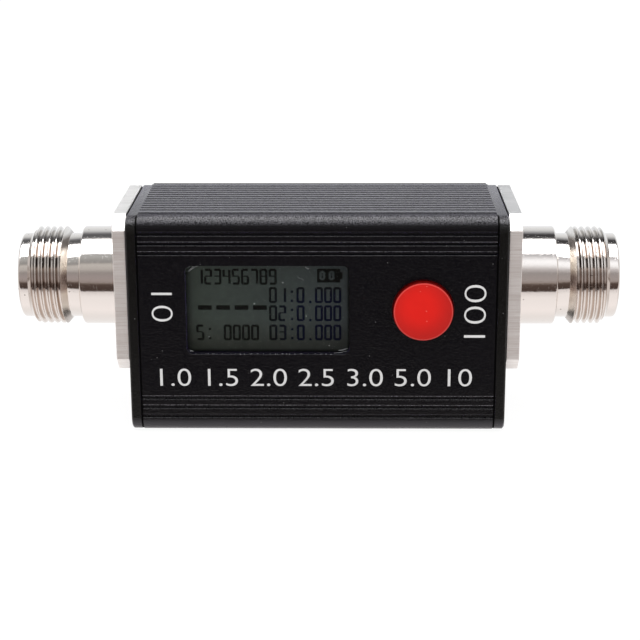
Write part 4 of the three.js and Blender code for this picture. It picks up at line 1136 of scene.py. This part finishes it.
# each crease of the film as points of (x, z, rise), and its width
FOLDS = (
    (((-20.3, 26.2, 0.1), (-19.8, 26.7, 0.3), (-19.3, 27.0, 0.25), (-18.6, 27.3, 0.1)), 0.3),
    (((-20.4, 26.9, 0.1), (-20.0, 27.3, 0.35), (-19.6, 27.5, 0.1)), 0.34),
    (((-1.9, 27.0, 0.1), (-1.5, 26.7, 0.22), (-1.1, 26.8, 0.1)), 0.16),
    (((-3.1, 25.4, 0.05), (-2.7, 25.0, 0.12), (-2.4, 25.2, 0.12), (-2.2, 24.7, 0.05)), 0.09),
    (((-20.3, 13.75, 1.4), (-20.0, 13.6, 1.6), (-19.65, 13.55, 1.5)), 0.26),
    (((3.3, 13.7, 1.5), (4.0, 13.8, 1.6), (4.75, 14.0, 1.4)), 0.13),
    (((2.6, 13.3, 1.6), (3.6, 13.4, 1.7), (4.6, 13.62, 1.6)), 0.1),
)


def make_folds():
    """Creases of the film that catch the light, and crumbs along its lower edge; their grey colour is partly a painted
    highlight.
    """
    shape = bmesh.new()
    for points, width in FOLDS:
        ribbon(shape, points, width, 0.06, GLASS_FRONT - 0.2)
    draw = random.Random(7)
    x = -19.3
    while x < 2.2:
        long = draw.uniform(0.08, 0.5)
        z = WINDOW_LOW + draw.uniform(0.03, 0.09)
        points = [(x, z, 0.0), (x + long / 2, z + draw.uniform(-0.02, 0.03), 0.02), (x + long, z, 0.0)]
        ribbon(shape, points, draw.uniform(0.05, 0.1), 0.04, FRONT + 0.12)
        x += long + draw.uniform(0.1, 1.1)
    new_solid("screen_film_folds", shape, "film_glint", sharp=60.0, slot="clear_film")

# ---- printed marks


def print_marks(name, words, left, right, low, high, thin, turn=0):
    """White print on the panel, fitted to a frame. turn counts quarter turns to the left."""
    curve = altered(bpy.data.curves.new(name, "FONT"), body=words, resolution_u=6, extrude=0.0125 * MM, offset=-thin)
    mesh = plain_result(new_object(name, curve), name)
    bpy.data.curves.remove(curve)
    mesh.transform(Matrix.Rotation(math.radians(90 * turn), 4, "Z"))
    xs, ys = ([vertex.co[axis] for vertex in mesh.vertices] for axis in (0, 1))
    wide, tall = max(xs) - min(xs), max(ys) - min(ys)
    scale = Matrix.Diagonal(((right - left) * MM / wide, (high - low) * MM / tall, 1.0, 1.0))
    start = Matrix.Translation((-min(xs), -min(ys), 0))
    stand = Matrix.Rotation(math.radians(90), 4, "X")
    place = Matrix.Translation(Vector((left, FRONT - 0.0075, low)) * MM)
    mesh.transform(place @ stand @ scale @ start)
    shape = bmesh.new()
    shape.from_mesh(mesh)
    new_solid(name, shape, "white_print", sharp=20.0)

# ---- stage, light, camera

# What the metal mirrors round the sockets' axis: degrees up from the front, then the
# linear colour seen by the left socket, and by the right one where it differs.
BANDS = (
    (-180, (0.96, 0.98, 1.00)), (-150, (1.00, 0.98, 0.97)),
    (-100, (0.99, 0.94, 0.91)), (-77, (1.10, 1.03, 1.00)),
    (-40, (1.03, 0.97, 0.94)), (-28, (0.85, 0.79, 0.77)), (-26, (0.72, 0.66, 0.64)),
    (-24.5, (0.070, 0.048, 0.040)), (-10, (0.096, 0.066, 0.055)), (-7, (0.17, 0.13, 0.11)),
    (-4, (0.35, 0.29, 0.265)), (2, (0.40, 0.34, 0.32)), (9, (0.39, 0.335, 0.32)),
    (19, (0.345, 0.308, 0.29)), (28, (0.55, 0.51, 0.475)), (38, (0.62, 0.58, 0.54)),
    (44, (0.345, 0.33, 0.315)), (49, (0.385, 0.375, 0.36)), (58, (0.50, 0.495, 0.475)),
    (65, (0.46, 0.465, 0.455)), (66.5, (1.0, 1.0, 1.0)), (106.5, (1.0, 1.0, 1.0)),
    (108.5, (0.60, 0.60, 0.60)), (112, (0.21, 0.21, 0.215)), (118.5, (0.115, 0.115, 0.118)),
    (125, (0.132, 0.132, 0.137)), (131, (0.27, 0.27, 0.28)), (137, (0.56, 0.57, 0.57)),
    (144, (0.75, 0.76, 0.76)), (156, (0.88, 0.89, 0.89)), (180, (0.96, 0.98, 1.00)),
)
RIGHT_BANDS = {2: (0.42, 0.37, 0.35), 9: (0.40, 0.352, 0.336), 19: (0.37, 0.337, 0.322),
               28: (0.62, 0.58, 0.57), 38: (1.12, 1.11, 1.11), 44: (1.24, 1.24, 1.25),
               49: (1.22, 1.22, 1.23), 58: (0.78, 0.76, 0.77), 65: (0.44, 0.435, 0.44),
               112: (0.11, 0.11, 0.112), 118.5: (0.052, 0.050, 0.052), 125: (0.064, 0.062, 0.064),
               137: (0.50, 0.505, 0.51)}
BRIGHTEST = 1.6              # the brightest band; the ramp holds shares of it
BOX_GLOW = 6.0               # what the soft box over the object adds


def band_ramp(place, changes):
    """The bands as a colour ramp, with some of them changed."""
    ramp = add(place.tree, "ShaderNodeValToRGB", (place,))
    elements = ramp.color_ramp.elements
    elements.remove(elements[-1])
    for index, (angle, colour) in enumerate(BANDS):
        spot = (angle + 180) / 360
        element = elements[0] if index == 0 else elements.new(spot)
        element.position = spot
        element.color = (*[c / BRIGHTEST for c in changes.get(angle, colour)], 1.0)
    return ramp.outputs["Color"]


def make_world():
    """Soft studio light; only mirrors see the boards, boxes and gaps round the object."""
    world = bpy.data.worlds.new("soft_studio")
    bpy.context.scene.world = world
    tree = cleared(world)

    def shown(kind, *fed):
        return add(tree, kind, fed).outputs[0]

    x, y, z = split(add(tree, "ShaderNodeTexCoord").outputs["Generated"])
    angle = z.maths("ARCTAN2", y * -1.0)
    degrees = angle * (180 / math.pi)
    place = angle * (1 / (2 * math.pi)) + 0.5
    sideways = abs(x) / (1.0 - x * x).maths("SQRT").maths("MAXIMUM", 0.01)
    seen = x.ranged(-0.04, 0.06, smooth=True).mix(band_ramp(place, {}), band_ramp(place, RIGHT_BANDS))
    dimmed = blended(tree, 0.5, seen, (0.36, 0.31, 0.28))
    seen = sideways.ranged(0.7, 1.6, smooth=True).mix(seen, dimmed)
    box = degrees.ranged(65.0, 66.5) * degrees.ranged(108.0, 106.5) * sideways.ranged(1.3, 0.7, smooth=True)
    mirrored = shown("ShaderNodeBackground", seen, box * BOX_GLOW + BRIGHTEST)
    soft_colour = z.ranged(-0.2, 0.6).mix((0.82, 0.80, 0.79), (1.0, 1.0, 1.0))
    soft = shown("ShaderNodeBackground", soft_colour, 0.86)
    white = shown("ShaderNodeBackground", (1.0, 1.0, 1.0), 1.0)
    path = add(tree, "ShaderNodeLightPath").outputs
    around = shown("ShaderNodeMixShader", path["Is Glossy Ray"], soft, mirrored)
    direct = maths(tree, "MAXIMUM", path["Is Camera Ray"], path["Is Transmission Ray"])
    add(tree, "ShaderNodeOutputWorld", (shown("ShaderNodeMixShader", direct, around, white),))


def make_floor():
    """White paper: its own white to the camera, with a share left for the object's shadow."""
    half, level = 1.5, -0.02 * MM
    mesh = bpy.data.meshes.new("floor")
    corners = [(-half, -half, level), (half, -half, level), (half, half, level), (-half, half, level)]
    mesh.from_pydata(corners, [], [(0, 1, 2, 3)])
    floor = new_object("floor", mesh)
    material = bpy.data.materials.new("white_paper")
    tree = cleared(material)
    white = noise(tree, 40.0).mix((0.88, 0.87, 0.86), (0.91, 0.90, 0.89))
    paper = add(tree, "ShaderNodeBsdfDiffuse", {"Color": white}).outputs[0]
    glow = add(tree, "ShaderNodeEmission", {"Strength": 1.09}).outputs[0]
    direct = Value(add(tree, "ShaderNodeLightPath").outputs["Is Camera Ray"]) * 0.86
    mixed = add(tree, "ShaderNodeMixShader", (direct, paper, glow)).outputs[0]
    add(tree, "ShaderNodeOutputMaterial", {"Surface": mixed})
    mesh.materials.append(material)
    floor.visible_glossy = False


def make_lamp():
    """One wide lamp overhead, for a soft direction."""
    light = altered(bpy.data.lights.new("overhead", "AREA"), shape="SQUARE", size=0.5, energy=1.1)
    altered(new_object("overhead", light), location=(0.0, -0.1, 0.6), rotation_euler=(math.radians(-9), 0, 0),
            visible_glossy=False, visible_camera=False)


def make_camera():
    """The camera fitted to the photograph: aim point, two angles, roll, distance and lens."""
    rise, swing, roll = math.radians(16.811), math.radians(1.034), math.radians(-0.237)
    distance, pixels, sensor = 275.641 * MM, 1667.476, 36.0
    aim = Vector((0.187, 0.0, 14.825)) * MM
    back = Vector((math.sin(swing) * math.cos(rise), -math.cos(swing) * math.cos(rise), math.sin(rise)))
    right = Vector((math.cos(swing), math.sin(swing), 0.0))
    up = back.cross(right)
    across = right * math.cos(roll) + up * math.sin(roll)
    upward = up * math.cos(roll) - right * math.sin(roll)
    camera = altered(bpy.data.cameras.new("camera"), sensor_width=sensor, sensor_fit="HORIZONTAL",
                     lens=sensor * pixels / 640, clip_start=0.01)
    turn = Matrix((across, upward, back)).transposed().to_4x4()
    place = Matrix.Translation(aim + back * distance) @ turn
    bpy.context.scene.camera = altered(new_object("camera", camera), matrix_world=place)

# ---- the object


def coat_carried_nodes():
    """The solids that stay as they are get their finish, by the slot that their material names."""
    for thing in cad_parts.values():
        names = [slot.material.name.split(".")[0] for slot in thing.material_slots if slot.material]
        material = MATERIALS.get(names[0] if names else "") or MATERIALS["black_plastic"]
        for slot in thing.material_slots:
            slot.material = material


def main():
    bpy.context.scene.view_settings.view_transform = "Standard"
    for make in (make_materials, make_camera, make_world, make_floor, make_lamp, coat_carried_nodes,
                 make_tube, make_seams, make_plates):
        make()
    tree = thread_tree()
    for word, side in SIDES:
        make_socket(word, side, tree)
        make_insulator(word, side)
    for make in (make_screws, make_button, make_dots, make_film, make_folds):
        make()
    print_marks("panel_scale", "1.0 1.5 2.0 2.5 3.0 5.0 10", -25.0, 24.45, 7.9, 10.8, 0.008)
    print_marks("left_port_mark", "10", -26.0, -22.7, 18.6, 23.3, 0.02, turn=-1)
    print_marks("right_port_mark", "100", 23.0, 26.4, 16.0, 24.6, 0.02, turn=1)


main()
